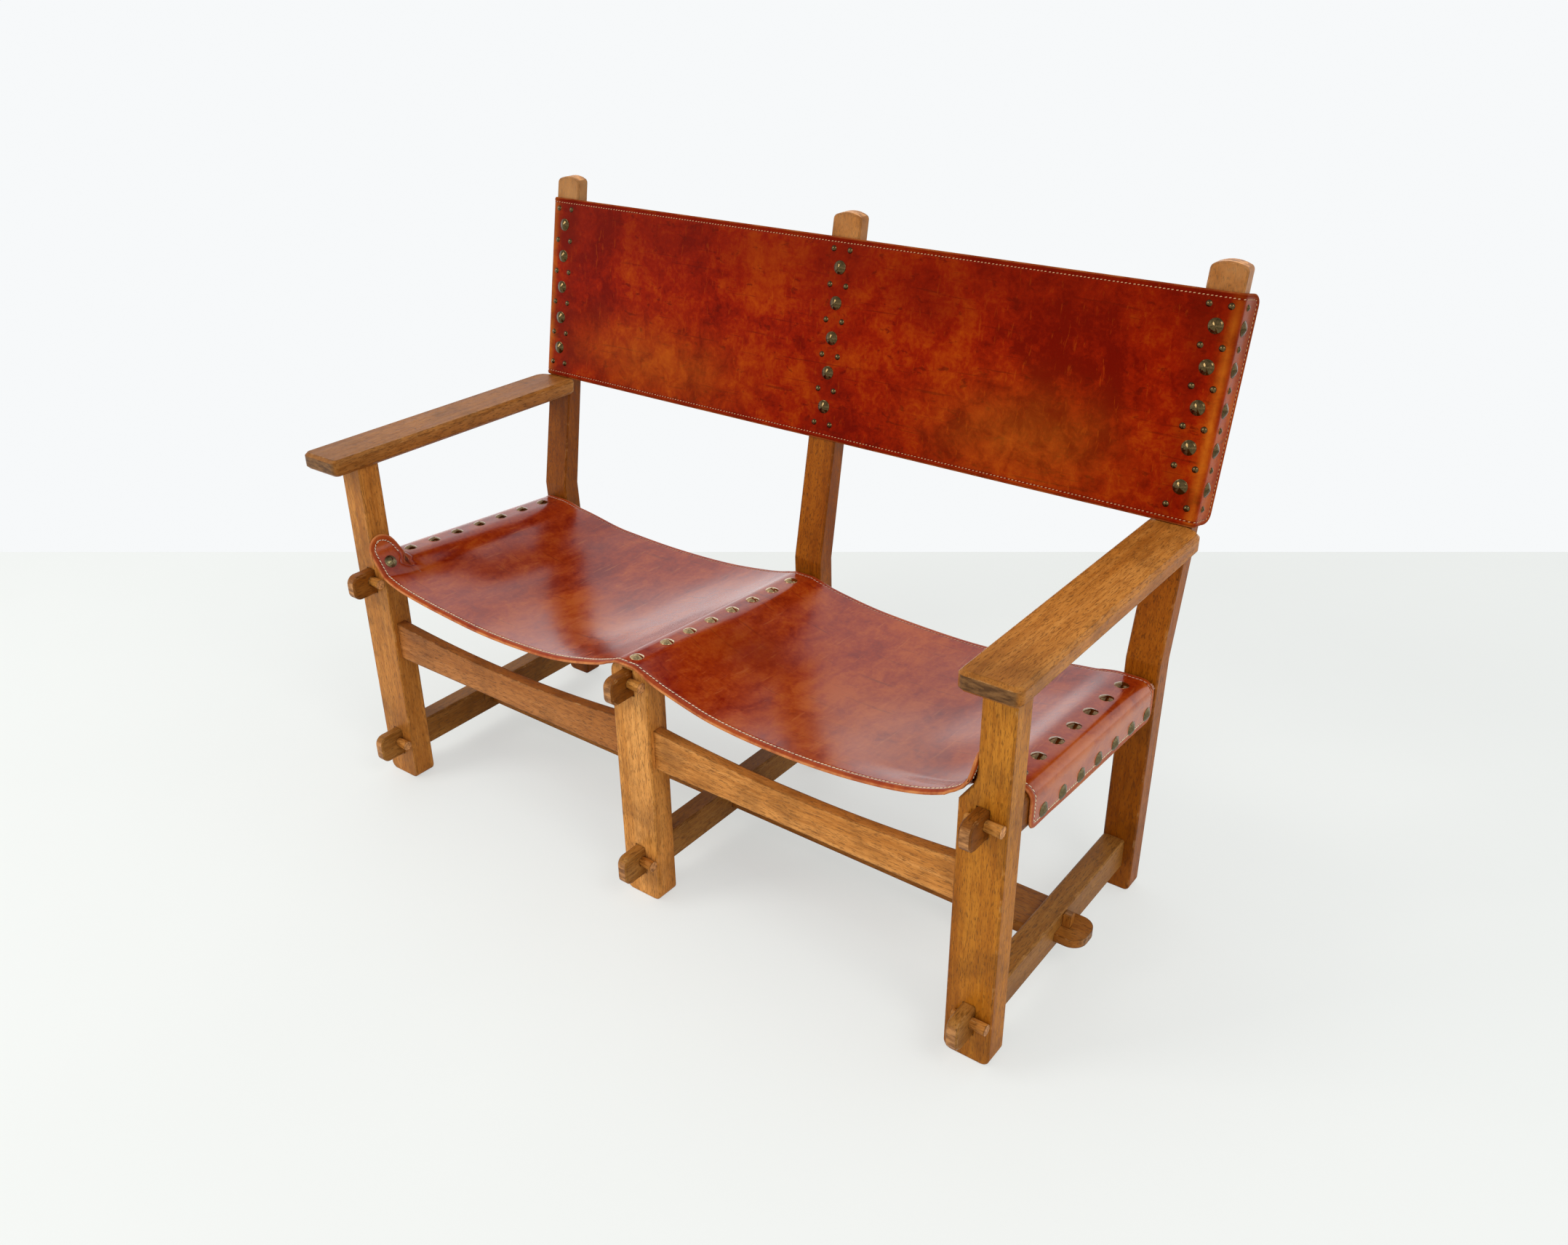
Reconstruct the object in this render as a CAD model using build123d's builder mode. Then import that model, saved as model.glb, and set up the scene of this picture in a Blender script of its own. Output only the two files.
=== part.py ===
from build123d import *
import os
from math import cos, radians, sin, tan

# A two-seat settle: an oak frame held by through tenons and pegs, with a saddle-leather
# seat slung over three rails and a leather back nailed to three raked posts.
# Millimetres. X runs to the sitter's left, Y to the back, Z up. The origin is on the floor
# under the middle of the whole, so places along Y start from leg_front, worked out below.

os.makedirs("parts", exist_ok=True)

# Plan
bay = 600.0                # leg centre to leg centre, one seat
seat_depth = 455.0         # front of a leg to the front of a rear post, at the bend
arm_overhang = 51.0        # arm past the front of the leg
joint_gap = 0.2            # between a tenon or peg and its hole, each side
soft_gap = 0.3             # leather to rounded wood
cut_over = 5.0             # overrun of cuts

# Heights, from the floor and from the seat plane, the tops of the rails
seat_front_z = 429.0       # seat plane at the front of the legs
seat_fall = 3.75           # degrees, down to the back
arm_height = 179.0         # underside of the arms over the seat plane
back_height = 564.0        # top of the posts over the seat plane
bend_drop = 2.0            # bend of the posts under the seat plane

# Front legs
leg_w = 72.0
leg_d = 41.0
leg_upper_w = 48.0         # outer legs above the seat
leg_ease = 2.0             # worn edges
leg_foot_round = 13.0
leg_top_round = 22.0       # middle leg, under the leather
shoulder_drop = 7.0        # low end of the shoulder under the seat plane
shoulder_run_share = 2 / 3  # straight part of the shoulder, of the step in the leg's width
shoulder_slope = 55.0      # degrees, before it curves up into the leg
leg_tenon_w = 28.0
leg_tenon_d = 20.0
leg_tenon_h = 20.0

# Rear posts
post_w = 54.0
post_kick = 14.0           # foot set back behind the bend
post_rake = 11.2           # degrees, above the bend
post_foot_d = 35.0
post_bend_d = 36.5
post_top_d = 24.0
post_inset = 2.0           # side of an outer post inside the leg's, on the floor
post_lean = 0.75           # degrees outwards
post_ease = 2.0            # worn edges
post_foot_round = 10.0
crown_rise = 7.0
crown_round = 8.0

# Seat rails, front to back
rail_w = 60.0
rail_h = 64.0
rail_round = 15.0
rail_inset = 3.0           # outer rail's outer side, inside the leg's
tenon_t = 19.0             # thickness of the long tenons
tenon_out = 46.0           # length in front of the leg
tenon_nose = 15.0          # rounding of the tongue's end
tenon_ease = 2.5           # hewn edges of the tongue
rail_tenon_h = 44.0
rail_tenon_drop = 5.0      # under the seat plane
rear_tenon = 22.0          # depth of the blind rear tenons
rear_tenon_h = 38.0

# Side stretchers
stretch_w = 36.0
stretch_h = 53.0
stretch_z = 45.0
stretch_ease = 2.5
stretch_tenon_h = 51.0

# Pegs through the front tenons
peg_thick = 9.0            # corner radius at the driven end
peg_thin = 6.5
peg_right = 34.0           # from the tenon's middle to the driven end
peg_left = 21.0
peg_sides = 8
peg_rise = 4.0             # above the tenon's middle

# Long stretcher
board_w = 84.0
board_t = 20.0
board_lift = 12.0          # over the underside of the side stretchers
board_y = 212.0            # its front edge, behind the front of the legs
board_ease = 2.0
tongue_w = 62.0
tongue_t = 14.0
tongue_out = 42.0
tongue_nose = 24.0
key_thick = 14.0
key_thin = 10.0
key_above = 22.0           # over the tongue
key_below = 12.0
key_ease = 1.5

# Front and rear rails
cross_t = 18.0
cross_h = 68.0
cross_drop = 108.0         # top corners under the seat plane
cross_dip = 14.0           # hollow of the top edge
cross_set = 9.0            # behind the front of the leg or post
cross_tenon = 18.0
cross_tenon_t = 10.0
cross_tenon_h = 44.0

# Arms
arm_w = 86.0
arm_t = 28.0
arm_past = 27.0            # past the outer side of the leg
arm_front_round = 12.0
arm_rear_round = 24.0
arm_ease = 5.0
arm_tenon = 20.0
arm_tenon_w = 34.0
arm_tenon_t = 14.0

# Seat leather
leather_t = 4.5
seat_lip = 8.0             # in front of the legs
seat_rear_gap = 3.0        # short of the rear posts
sag_front = 46.0
sag_middle = 51.0
sag_rear = 28.0
sling_margin = 55.0        # from the edge of the slung part to the leg's middle
flap_under = 3.0           # side flap below the rail
flap_round = 16.0
lobe_over = 12.0           # ear turned up on the outer leg, over the shoulder
lobe_back = 17.0           # behind the back of the leg
lobe_round = 24.0
slit = 2.0                 # between the ear and the side flap

# The sling across a seat: places as shares of the bay, depths as shares of the sag
sling_shares = ((0.05, 0.12), (0.13, 0.46), (0.28, 0.86), (0.5, 1.0), (0.72, 0.82), (0.84, 0.62))
sling_end_share = 0.39     # depth at the edge of the slung part
sling_slope_share = 0.36   # slope there
depth_shares = (0.25, 0.5, 0.75)  # slices between the slit and the back edge

# Back leather
back_drop = 38.0           # its top edge under the tops of the posts, down the rake
back_reach = 44.0          # side flap, from the front of the post
back_corner = 16.0

# Nail heads
nail_r = 11.0
nail_h = 4.5
stud_r = 4.8
stud_h = 3.0
nail_sides = 10
stud_sides = 6
nail_shares = ((1, 0), (0.72, 0.62), (0.16, 1))  # widths and heights, up to the blunt peak
stud_shares = ((1, 0), (0.5, 1))
seat_nail_start = 90.0     # behind the front of the legs
seat_nail_end = 47.0       # before the rear posts
seat_nail_count = 7
seat_nail_front = 22.0     # odd nail over the middle leg
flap_nail_start = 96.0
flap_nail_end = 24.0
flap_nail_drop = 49.0      # under the seat plane
lobe_nail_y = 20.0
back_nail_first = 47.0     # under the top edge of the back
back_nail_last = 54.0      # over its lower edge
back_nail_count = 5
stud_half = 15.5           # half the distance of a pair
back_flap_nail = 15.0      # behind the front of the post

# Places that follow from the sizes
rake = radians(post_rake)
lean = tan(radians(post_lean))
fall = tan(radians(seat_fall))
leg_top = seat_front_z + arm_height
post_bend = seat_front_z - bend_drop
post_h = seat_front_z + back_height
back_low = (leg_top + arm_t + soft_gap - post_bend) / cos(rake)
back_high = (post_h - post_bend) / cos(rake) - back_drop
rear_reach = (seat_depth + (back_high - back_corner) * sin(rake)
              + (back_reach - back_corner) * cos(rake) + back_corner)
leg_front = (arm_overhang - rear_reach) / 2
leg_back = leg_front + leg_d
bend_y = leg_front + seat_depth
post_top_y = bend_y + (post_h - post_bend) * tan(rake)
leg_out = bay + leg_w / 2
post_foot_x = leg_out - post_inset - post_w / 2
arm_x = leg_out + arm_past - arm_w / 2
leg_upper_in = leg_out - leg_upper_w
leg_in = bay - leg_w / 2
slope = radians(shoulder_slope)
shoulder_run = (leg_w - leg_upper_w) * shoulder_run_share
shoulder_low = seat_front_z - shoulder_drop
shoulder_mid = shoulder_low + shoulder_run * tan(slope)
shoulder_radius = (leg_upper_in - leg_in - shoulder_run) / (1 - sin(slope))
shoulder_high = shoulder_mid + shoulder_radius * cos(slope)
rail_x = leg_out - rail_inset - rail_w / 2
tenon_tip = leg_front - tenon_out
board_z = stretch_z + board_lift
cross_high = seat_front_z - cross_drop
cross_low = cross_high - cross_h
back_plane = Plane(origin=(0, bend_y, post_bend), x_dir=(1, 0, 0), z_dir=(0, -cos(rake), sin(rake)))


def seat_z(y):
    """Height of the seat plane at a place along Y."""
    return seat_front_z - (y - leg_front) * fall


def shoulder_point(steepness, radius):
    """Point round the curve of the right shoulder, by its slope there in degrees."""
    angle = radians(steepness)
    centre_x = leg_upper_in - shoulder_radius
    return (centre_x + radius * sin(angle), shoulder_high - radius * cos(angle))


def post_front(z):
    """Front of a rear post at a height."""
    if z < post_bend:
        return bend_y + post_kick * (post_bend - z) / post_bend
    return bend_y + (z - post_bend) * tan(rake)


def post_x(z):
    """Centre of the outer right post at a height."""
    return post_foot_x + z * lean


stretch_mid = stretch_z + stretch_h / 2
rail_mid = seat_z(leg_back) - rail_tenon_drop - rail_tenon_h / 2
rail_rear_mid = seat_z(bend_y) - rail_h / 2
board_mid_y = leg_front + board_y + board_w / 2
board_mid_z = board_z + board_t / 2
cross_mid = (cross_low + cross_high - cross_dip) / 2
arm_mid = leg_top + arm_t / 2
cross_rear_y = post_front(cross_mid) + cross_set + cross_t / 2
cross_front_y = leg_front + cross_set + cross_t / 2


# Front legs

def cut_leg_mortises(x):
    """Through mortises for the seat rail and the side stretcher."""
    for z, height in ((rail_mid, rail_tenon_h), (stretch_mid, stretch_tenon_h)):
        with BuildSketch(Plane.XZ.offset(-leg_back - cut_over)) as hole:
            with Locations((x, z)):
                Rectangle(tenon_t + 2 * joint_gap, height + 2 * joint_gap)
        extrude(hole.sketch, amount=leg_d + 2 * cut_over, mode=Mode.SUBTRACT)


def cut_cross_mortise(x, y, side):
    """Blind mortise in a leg's or post's side face, open towards one side."""
    with BuildSketch(Plane.YZ.offset(x + side * cut_over)) as hole:
        with Locations((y, cross_mid)):
            Rectangle(cross_tenon_t + 2 * joint_gap, cross_tenon_h + 2 * joint_gap)
    depth = cut_over + cross_tenon + joint_gap
    extrude(hole.sketch, amount=-side * depth, mode=Mode.SUBTRACT)


with BuildPart() as front_leg_right:
    with BuildSketch(Plane.XZ.offset(-leg_back)):
        with BuildLine():
            Polyline(
                (leg_upper_in, shoulder_high),
                (leg_upper_in, leg_top),
                (leg_out, leg_top),
                (leg_out, 0),
                (leg_in, 0),
                (leg_in, shoulder_low),
                shoulder_point(shoulder_slope, shoulder_radius),
            )
            ThreePointArc(
                shoulder_point(shoulder_slope, shoulder_radius),
                shoulder_point((shoulder_slope + 90) / 2, shoulder_radius),
                shoulder_point(90, shoulder_radius),
            )
        make_face()
    extrude(amount=leg_d)
    feet = front_leg_right.edges().filter_by(Axis.Y).group_by(Axis.Z)[0]
    fillet(feet, radius=leg_foot_round)
    chamfer(front_leg_right.edges().filter_by(Axis.Z), length=leg_ease)
    with BuildSketch(Plane.XY.offset(leg_top)):
        with Locations((leg_out - leg_upper_w / 2, leg_front + leg_d / 2)):
            Rectangle(leg_tenon_w, leg_tenon_d)
    extrude(amount=leg_tenon_h)
    cut_leg_mortises(bay)
    cut_cross_mortise(leg_in, cross_front_y, -1)
front_leg_right.part.label = "front_leg_right"

with BuildPart() as front_leg_left:
    mirror(front_leg_right.part, about=Plane.YZ)
front_leg_left.part.label = "front_leg_left"

with BuildPart() as front_leg_middle:
    with BuildSketch(Plane.XZ.offset(-leg_front)) as leg_front_view:
        with Locations((0, (seat_front_z - cut_over) / 2)):
            Rectangle(leg_w, seat_front_z + cut_over)
        fillet(leg_front_view.vertices().group_by(Axis.Y)[1], radius=leg_top_round)
    along_seat = (0, cos(radians(seat_fall)), -sin(radians(seat_fall)))
    extrude(leg_front_view.sketch, amount=leg_d / cos(radians(seat_fall)), dir=along_seat)
    split(bisect_by=Plane.XY, keep=Keep.TOP)
    fillet(front_leg_middle.edges().filter_by(Axis.Y).group_by(Axis.Z)[0], radius=leg_foot_round)
    chamfer(front_leg_middle.edges().filter_by(Axis.Z), length=leg_ease)
    cut_leg_mortises(0)
    for side in (-1, 1):
        cut_cross_mortise(side * leg_w / 2, cross_front_y, side)
front_leg_middle.part.label = "front_leg_middle"


# Rear posts: the side view gives the kick, the rake and the taper, the front view the crown

def post_body(foot_x, tilt):
    """A raked post that leans sideways by tilt."""
    half = post_w / 2
    top_x = foot_x + post_h * tilt
    top_left = (top_x - half, post_h - crown_rise)
    top_right = (top_x + half, post_h - crown_rise)
    with BuildSketch(Plane.YZ.offset(foot_x - post_w)) as side_view:
        with BuildLine():
            Polyline(
                (bend_y + post_kick, 0),
                (bend_y, post_bend),
                (post_top_y, post_h),
                (post_top_y + post_top_d, post_h),
                (bend_y + post_bend_d, post_bend),
                (bend_y + post_kick + post_foot_d, 0),
                close=True,
            )
        make_face()
    extrude(side_view.sketch, amount=2 * post_w)
    with BuildSketch(Plane.XZ.offset(-bend_y - post_h)) as front_view:
        with BuildLine():
            Line((foot_x + half, 0), top_right)
            ThreePointArc(top_right, (top_x, post_h), top_left)
            Line(top_left, (foot_x - half, 0))
            Line((foot_x - half, 0), (foot_x + half, 0))
        make_face()
        fillet(front_view.vertices().group_by(Axis.Y)[1], radius=crown_round)
        fillet(front_view.vertices().group_by(Axis.Y)[0], radius=post_foot_round)
    extrude(front_view.sketch, amount=2 * post_h, mode=Mode.INTERSECT)
    chamfer(edges().filter_by(lambda edge: edge.length > post_bend / 2), length=post_ease)


def cut_post_front(x, z, width, height, depth):
    """Blind mortise in a post's front face."""
    with BuildSketch(Plane.XZ.offset(-post_front(z) - depth - joint_gap)) as hole:
        with Locations((x, z)):
            Rectangle(width + 2 * joint_gap, height + 2 * joint_gap)
    extrude(hole.sketch, amount=depth + cut_over, mode=Mode.SUBTRACT)


with BuildPart() as rear_post_right:
    post_body(post_foot_x, lean)
    cut_post_front(bay, rail_rear_mid, tenon_t, rear_tenon_h, rear_tenon)
    cut_post_front(bay, stretch_mid, tenon_t, rear_tenon_h, rear_tenon)
    cut_post_front(arm_x, arm_mid, arm_tenon_w, arm_tenon_t, arm_tenon)
    cut_cross_mortise(post_x(cross_mid) - post_w / 2, cross_rear_y, -1)
rear_post_right.part.label = "rear_post_right"

with BuildPart() as rear_post_left:
    mirror(rear_post_right.part, about=Plane.YZ)
rear_post_left.part.label = "rear_post_left"

with BuildPart() as rear_post_middle:
    post_body(0, 0)
    cut_post_front(0, rail_rear_mid, tenon_t, rear_tenon_h, rear_tenon)
    cut_post_front(0, stretch_mid, tenon_t, rear_tenon_h, rear_tenon)
    for side in (-1, 1):
        cut_cross_mortise(side * post_w / 2, cross_rear_y, side)
rear_post_middle.part.label = "rear_post_middle"


# Seat rails and side stretchers: a bar with a through tenon in front and a blind one behind

def peg_hole(x, z):
    """Tapered round hole across a front tenon."""
    ends = []
    for end, radius in ((peg_right, peg_thick), (-peg_left, peg_thin)):
        y = leg_front - joint_gap - radius * cos(radians(180 / peg_sides))
        with BuildSketch(Plane.YZ.offset(x + end)) as section:
            with Locations((y, z)):
                Circle(radius + joint_gap)
        ends.append(section.sketch)
    loft(ends, ruled=True, mode=Mode.SUBTRACT)


def front_tenon(x, z, height):
    """Long tongue through the leg, rounded at its end and hewn along its edges."""
    with BuildSketch(Plane.YZ.offset(x - tenon_t / 2)) as tongue:
        with Locations(((leg_back + tenon_tip) / 2, z)):
            Rectangle(leg_back - tenon_tip, height)
        fillet(tongue.vertices().group_by(Axis.X)[0], radius=tenon_nose)
    rims = extrude(tongue.sketch, amount=tenon_t).faces().sort_by(Axis.X)
    outline = rims[0].edges() + rims[-1].edges()
    chamfer(outline.filter_by(lambda edge: edge.center().Y < leg_back - joint_gap), length=tenon_ease)


def rear_peg_tenon(x, z):
    """Blind tenon into the rear post."""
    y = post_front(z)
    with BuildSketch(Plane.XZ.offset(-y - rear_tenon)) as tenon:
        with Locations((x, z)):
            Rectangle(tenon_t, rear_tenon_h)
    extrude(tenon.sketch, amount=rear_tenon + cut_over)


def seat_rail(x, tenon_x):
    """Rail under the seat leather, falling to the back."""
    front_tenon(tenon_x, rail_mid, rail_tenon_h)
    rear_high = post_front(seat_z(bend_y))
    rear_low = post_front(seat_z(bend_y) - rail_h)
    with BuildSketch(Plane.YZ.offset(x - rail_w / 2)) as side_view:
        with BuildLine():
            Polyline(
                (leg_back, seat_z(leg_back)),
                (rear_high, seat_z(rear_high)),
                (rear_low, seat_z(rear_low) - rail_h),
                (leg_back, seat_z(leg_back) - rail_h),
                close=True,
            )
        make_face()
    extrude(side_view.sketch, amount=rail_w)
    fillet(edges().filter_by(lambda edge: edge.length > rail_w * 2), radius=rail_round)
    rear_peg_tenon(tenon_x, rail_rear_mid)
    peg_hole(tenon_x, rail_mid + peg_rise)


def side_stretcher(x):
    """Low bar between a front leg and its rear post."""
    front_tenon(x, stretch_mid, stretch_tenon_h)
    top = stretch_z + stretch_h
    with BuildSketch(Plane.YZ.offset(x - stretch_w / 2)) as side_view:
        with BuildLine():
            Polyline(
                (leg_back, stretch_z),
                (post_front(stretch_z), stretch_z),
                (post_front(top), top),
                (leg_back, top),
                close=True,
            )
        make_face()
    extrude(side_view.sketch, amount=stretch_w)
    chamfer(edges().filter_by(lambda edge: edge.length > stretch_w * 5), length=stretch_ease)
    rear_peg_tenon(x, stretch_mid)
    peg_hole(x, stretch_mid + peg_rise)


def board_slot(width, thick, x):
    """Mortise for the long stretcher through a side stretcher."""
    with BuildSketch(Plane.YZ.offset(x - stretch_w / 2 - cut_over)) as hole:
        with Locations((board_mid_y, board_mid_z)):
            Rectangle(width + 2 * joint_gap, thick + 2 * joint_gap)
    extrude(hole.sketch, amount=stretch_w + 2 * cut_over, mode=Mode.SUBTRACT)


with BuildPart() as seat_rail_right:
    seat_rail(rail_x, bay)
seat_rail_right.part.label = "seat_rail_right"

with BuildPart() as seat_rail_middle:
    seat_rail(0, 0)
seat_rail_middle.part.label = "seat_rail_middle"

with BuildPart() as seat_rail_left:
    seat_rail(-rail_x, -bay)
seat_rail_left.part.label = "seat_rail_left"

with BuildPart() as side_stretcher_right:
    side_stretcher(bay)
    board_slot(tongue_w, tongue_t, bay)
side_stretcher_right.part.label = "side_stretcher_right"

with BuildPart() as side_stretcher_middle:
    side_stretcher(0)
    board_slot(board_w, board_t, 0)
side_stretcher_middle.part.label = "side_stretcher_middle"

with BuildPart() as side_stretcher_left:
    side_stretcher(-bay)
    board_slot(tongue_w, tongue_t, -bay)
side_stretcher_left.part.label = "side_stretcher_left"


# Long stretcher: one flat board through the middle stretcher, tongued at both ends

shoulder_x = bay - stretch_w / 2
tongue_tip = bay + stretch_w / 2 + tongue_out
key_face = bay + stretch_w / 2 + joint_gap
tongue_low = board_mid_z - tongue_t / 2
tongue_top = board_mid_z + tongue_t / 2


def key_block(side, grow, mode):
    """Square key with its back face on the stretcher, thinner below, grown for its hole."""
    low = tongue_low - key_below
    top = tongue_top + key_above
    with BuildSketch(Plane.XZ.offset(-board_mid_y)) as key_view:
        with BuildLine():
            Polyline(
                (side * (key_face - grow), low),
                (side * (key_face + key_thin + grow), low),
                (side * (key_face + key_thick + grow), top),
                (side * (key_face - grow), top),
                close=True,
            )
        make_face()
    extrude(key_view.sketch, amount=key_thick / 2 + grow, both=True, mode=mode)


with BuildPart() as long_stretcher:
    with BuildSketch(Plane.XY.offset(board_z)):
        with Locations((0, board_mid_y)):
            Rectangle(2 * shoulder_x, board_w)
    extrude(amount=board_t)
    chamfer(long_stretcher.edges().filter_by(Axis.X), length=board_ease)
    with BuildSketch(Plane.XY.offset(tongue_low)):
        with Locations((0, board_mid_y)):
            RectangleRounded(2 * tongue_tip, tongue_w, tongue_nose)
    extrude(amount=tongue_t)
    for side in (-1, 1):
        key_block(side, joint_gap, Mode.SUBTRACT)
long_stretcher.part.label = "long_stretcher"

with BuildPart() as long_key_right:
    key_block(1, 0, Mode.ADD)
    chamfer(long_key_right.faces().sort_by(Axis.Z)[-1].edges(), length=key_ease)
long_key_right.part.label = "long_key_right"

with BuildPart() as long_key_left:
    mirror(long_key_right.part, about=Plane.YZ)
long_key_left.part.label = "long_key_left"


# Pegs through the front tenons, whittled to eight sides, flat against the leg

def peg_side(x, z, end, radius, angle):
    """Middle of one side of the peg at one end."""
    flat = radius * cos(radians(180 / peg_sides))
    y = leg_front - joint_gap - flat
    return Vector(x + end, y + flat * cos(angle), z + flat * sin(angle))


def tusk_peg(x, z):
    """Peg with one flat on the leg, whittled thinner from the driven end."""
    y = leg_front - joint_gap - peg_thick * cos(radians(180 / peg_sides))
    with BuildSketch(Plane.YZ.offset(x - peg_left)) as section:
        with Locations((y, z)):
            RegularPolygon(peg_thick, peg_sides, rotation=180 / peg_sides)
    extrude(section.sketch, amount=peg_right + peg_left)
    for k in range(1, peg_sides):
        angle = radians(360 / peg_sides * k)
        thick = peg_side(x, z, peg_right, peg_thick, angle)
        thin = peg_side(x, z, -peg_left, peg_thin, angle)
        across = Vector(0, -sin(angle), cos(angle))
        split(bisect_by=Plane(thick, x_dir=across, z_dir=(thin - thick).cross(across)), keep=Keep.BOTTOM)


leg_places = {"left": -bay, "middle": 0, "right": bay}
pegs = []
for place, x in leg_places.items():
    for level, z in (("upper", rail_mid), ("lower", stretch_mid)):
        with BuildPart() as peg:
            tusk_peg(x, z + peg_rise)
        peg.part.label = f"{level}_peg_{place}"
        pegs.append(peg.part)


# Front and rear rails between legs and between posts, hollowed along the top

def cross_rail(left, right, left_low, right_low, y):
    """Board between two side faces; the low corners differ from the high ones at a lean."""
    with BuildSketch(Plane.XZ.offset(-y - cross_t / 2)) as board:
        with BuildLine():
            Line((left_low, cross_low), (right_low, cross_low))
            Line((right_low, cross_low), (right, cross_high))
            ThreePointArc(
                (right, cross_high), ((left + right) / 2, cross_high - cross_dip), (left, cross_high))
            Line((left, cross_high), (left_low, cross_low))
        make_face()
    extrude(board.sketch, amount=cross_t)
    with BuildSketch(Plane.XZ.offset(-y - cross_tenon_t / 2)) as tenons:
        length = (right + right_low - left - left_low) / 2
        with Locations(((left + right + left_low + right_low) / 4, cross_mid)):
            Rectangle(length + 2 * cross_tenon, cross_tenon_h)
    extrude(tenons.sketch, amount=cross_tenon_t)


def post_side(z):
    """Inner side face of the outer right post."""
    return post_x(z) - post_w / 2


with BuildPart() as front_rail_right:
    cross_rail(leg_w / 2, leg_in, leg_w / 2, leg_in, cross_front_y)
front_rail_right.part.label = "front_rail_right"

with BuildPart() as front_rail_left:
    mirror(front_rail_right.part, about=Plane.YZ)
front_rail_left.part.label = "front_rail_left"

with BuildPart() as rear_rail_right:
    cross_rail(post_w / 2, post_side(cross_high), post_w / 2, post_side(cross_low), cross_rear_y)
rear_rail_right.part.label = "rear_rail_right"

with BuildPart() as rear_rail_left:
    mirror(rear_rail_right.part, about=Plane.YZ)
rear_rail_left.part.label = "rear_rail_left"


# Arms: a thick board with round corners, its back end cut to the rake of the post

arm_front = leg_front - arm_overhang
arm_rear = post_front(leg_top + arm_t)


def before_corner(edge):
    """Whether an edge lies in front of the round rear corner."""
    return edge.center().Y < arm_rear - arm_rear_round


with BuildPart() as arm_right:
    with BuildSketch(Plane.XY.offset(leg_top)) as arm_plan:
        with Locations((arm_x, (arm_front + arm_rear) / 2)):
            Rectangle(arm_w, arm_rear - arm_front)
        fillet(arm_plan.vertices().group_by(Axis.Y)[0], radius=arm_front_round)
        rear_corner = arm_plan.vertices().group_by(Axis.Y)[-1].sort_by(Axis.X)[-1]
        fillet(rear_corner, radius=arm_rear_round)
    extrude(amount=arm_t)
    split(bisect_by=back_plane, keep=Keep.TOP)
    arm_faces = arm_right.faces().sort_by(Axis.Z)
    rims = arm_faces[-1].edges() + arm_faces[0].edges()
    chamfer(rims.filter_by(before_corner), length=arm_ease)
    with BuildSketch(Plane.XY.offset(leg_top)):
        with Locations((leg_out - leg_upper_w / 2, leg_front + leg_d / 2)):
            Rectangle(leg_tenon_w + 2 * joint_gap, leg_tenon_d + 2 * joint_gap)
    extrude(amount=leg_tenon_h + joint_gap, mode=Mode.SUBTRACT)
    with BuildSketch(Plane.XZ.offset(-post_front(arm_mid) - arm_tenon)):
        with Locations((arm_x, arm_mid)):
            Rectangle(arm_tenon_w, arm_tenon_t)
    extrude(amount=arm_tenon + cut_over)
arm_right.part.label = "arm_right"

with BuildPart() as arm_left:
    mirror(arm_right.part, about=Plane.YZ)
arm_left.part.label = "arm_left"


# Seat leather: one sheet nailed to the three rails. The right half is made of the slung
# part, the part that folds over the outer rail, and the ear turned up on the outer leg.

rail_out_x = rail_x + rail_w / 2
rail_flat_in = rail_x - rail_w / 2 + rail_round
rail_flat_out = rail_out_x - rail_round
ear_back = leg_back + lobe_back
fold_front = ear_back + slit
seat_back = bend_y - seat_rear_gap
sling_half = bay - sling_margin
ear_places = [leg_front - seat_lip, ear_back]
fold_places = [fold_front + share * (seat_back - fold_front) for share in (0, *depth_shares, 1)]


def sag(y):
    """Depth of the sling in the middle of a seat: a smooth curve through three depths."""
    t = (y - leg_front) / seat_depth
    return (sag_front * (1 - t) * (1 - 2 * t) + sag_middle * 4 * t * (1 - t)
            + sag_rear * t * (2 * t - 1))


def sling_edge(y):
    """Height of the underside at the edge of the slung part."""
    return seat_z(y) - sling_end_share * sag(y)


def sling_line(y, lift):
    """Line over the middle rail, then the curve across the seat, raised by lift."""
    start = rail_w / 2 - rail_round
    points = [(start, seat_z(y) + lift)]
    points += [(bay * across, seat_z(y) + lift - sag(y) * deep) for across, deep in sling_shares]
    points.append((sling_half, sling_edge(y) + lift))
    return points


def sling_section(y):
    """Half of the slung sheet in one slice, from the middle of the settle."""
    with BuildSketch(Plane.XZ.offset(-y)) as section:
        with BuildLine():
            under = sling_line(y, 0)
            upper = sling_line(y, leather_t)
            Line((0, under[0][1]), under[0])
            Spline(*under, tangents=((1, 0), (1, sling_slope_share)))
            Line(under[-1], upper[-1])
            Spline(*upper, tangents=((1, 0), (1, sling_slope_share)))
            Line(upper[0], (0, upper[0][1]))
            Line((0, upper[0][1]), (0, under[0][1]))
        make_face()
    return section.sketch


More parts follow.
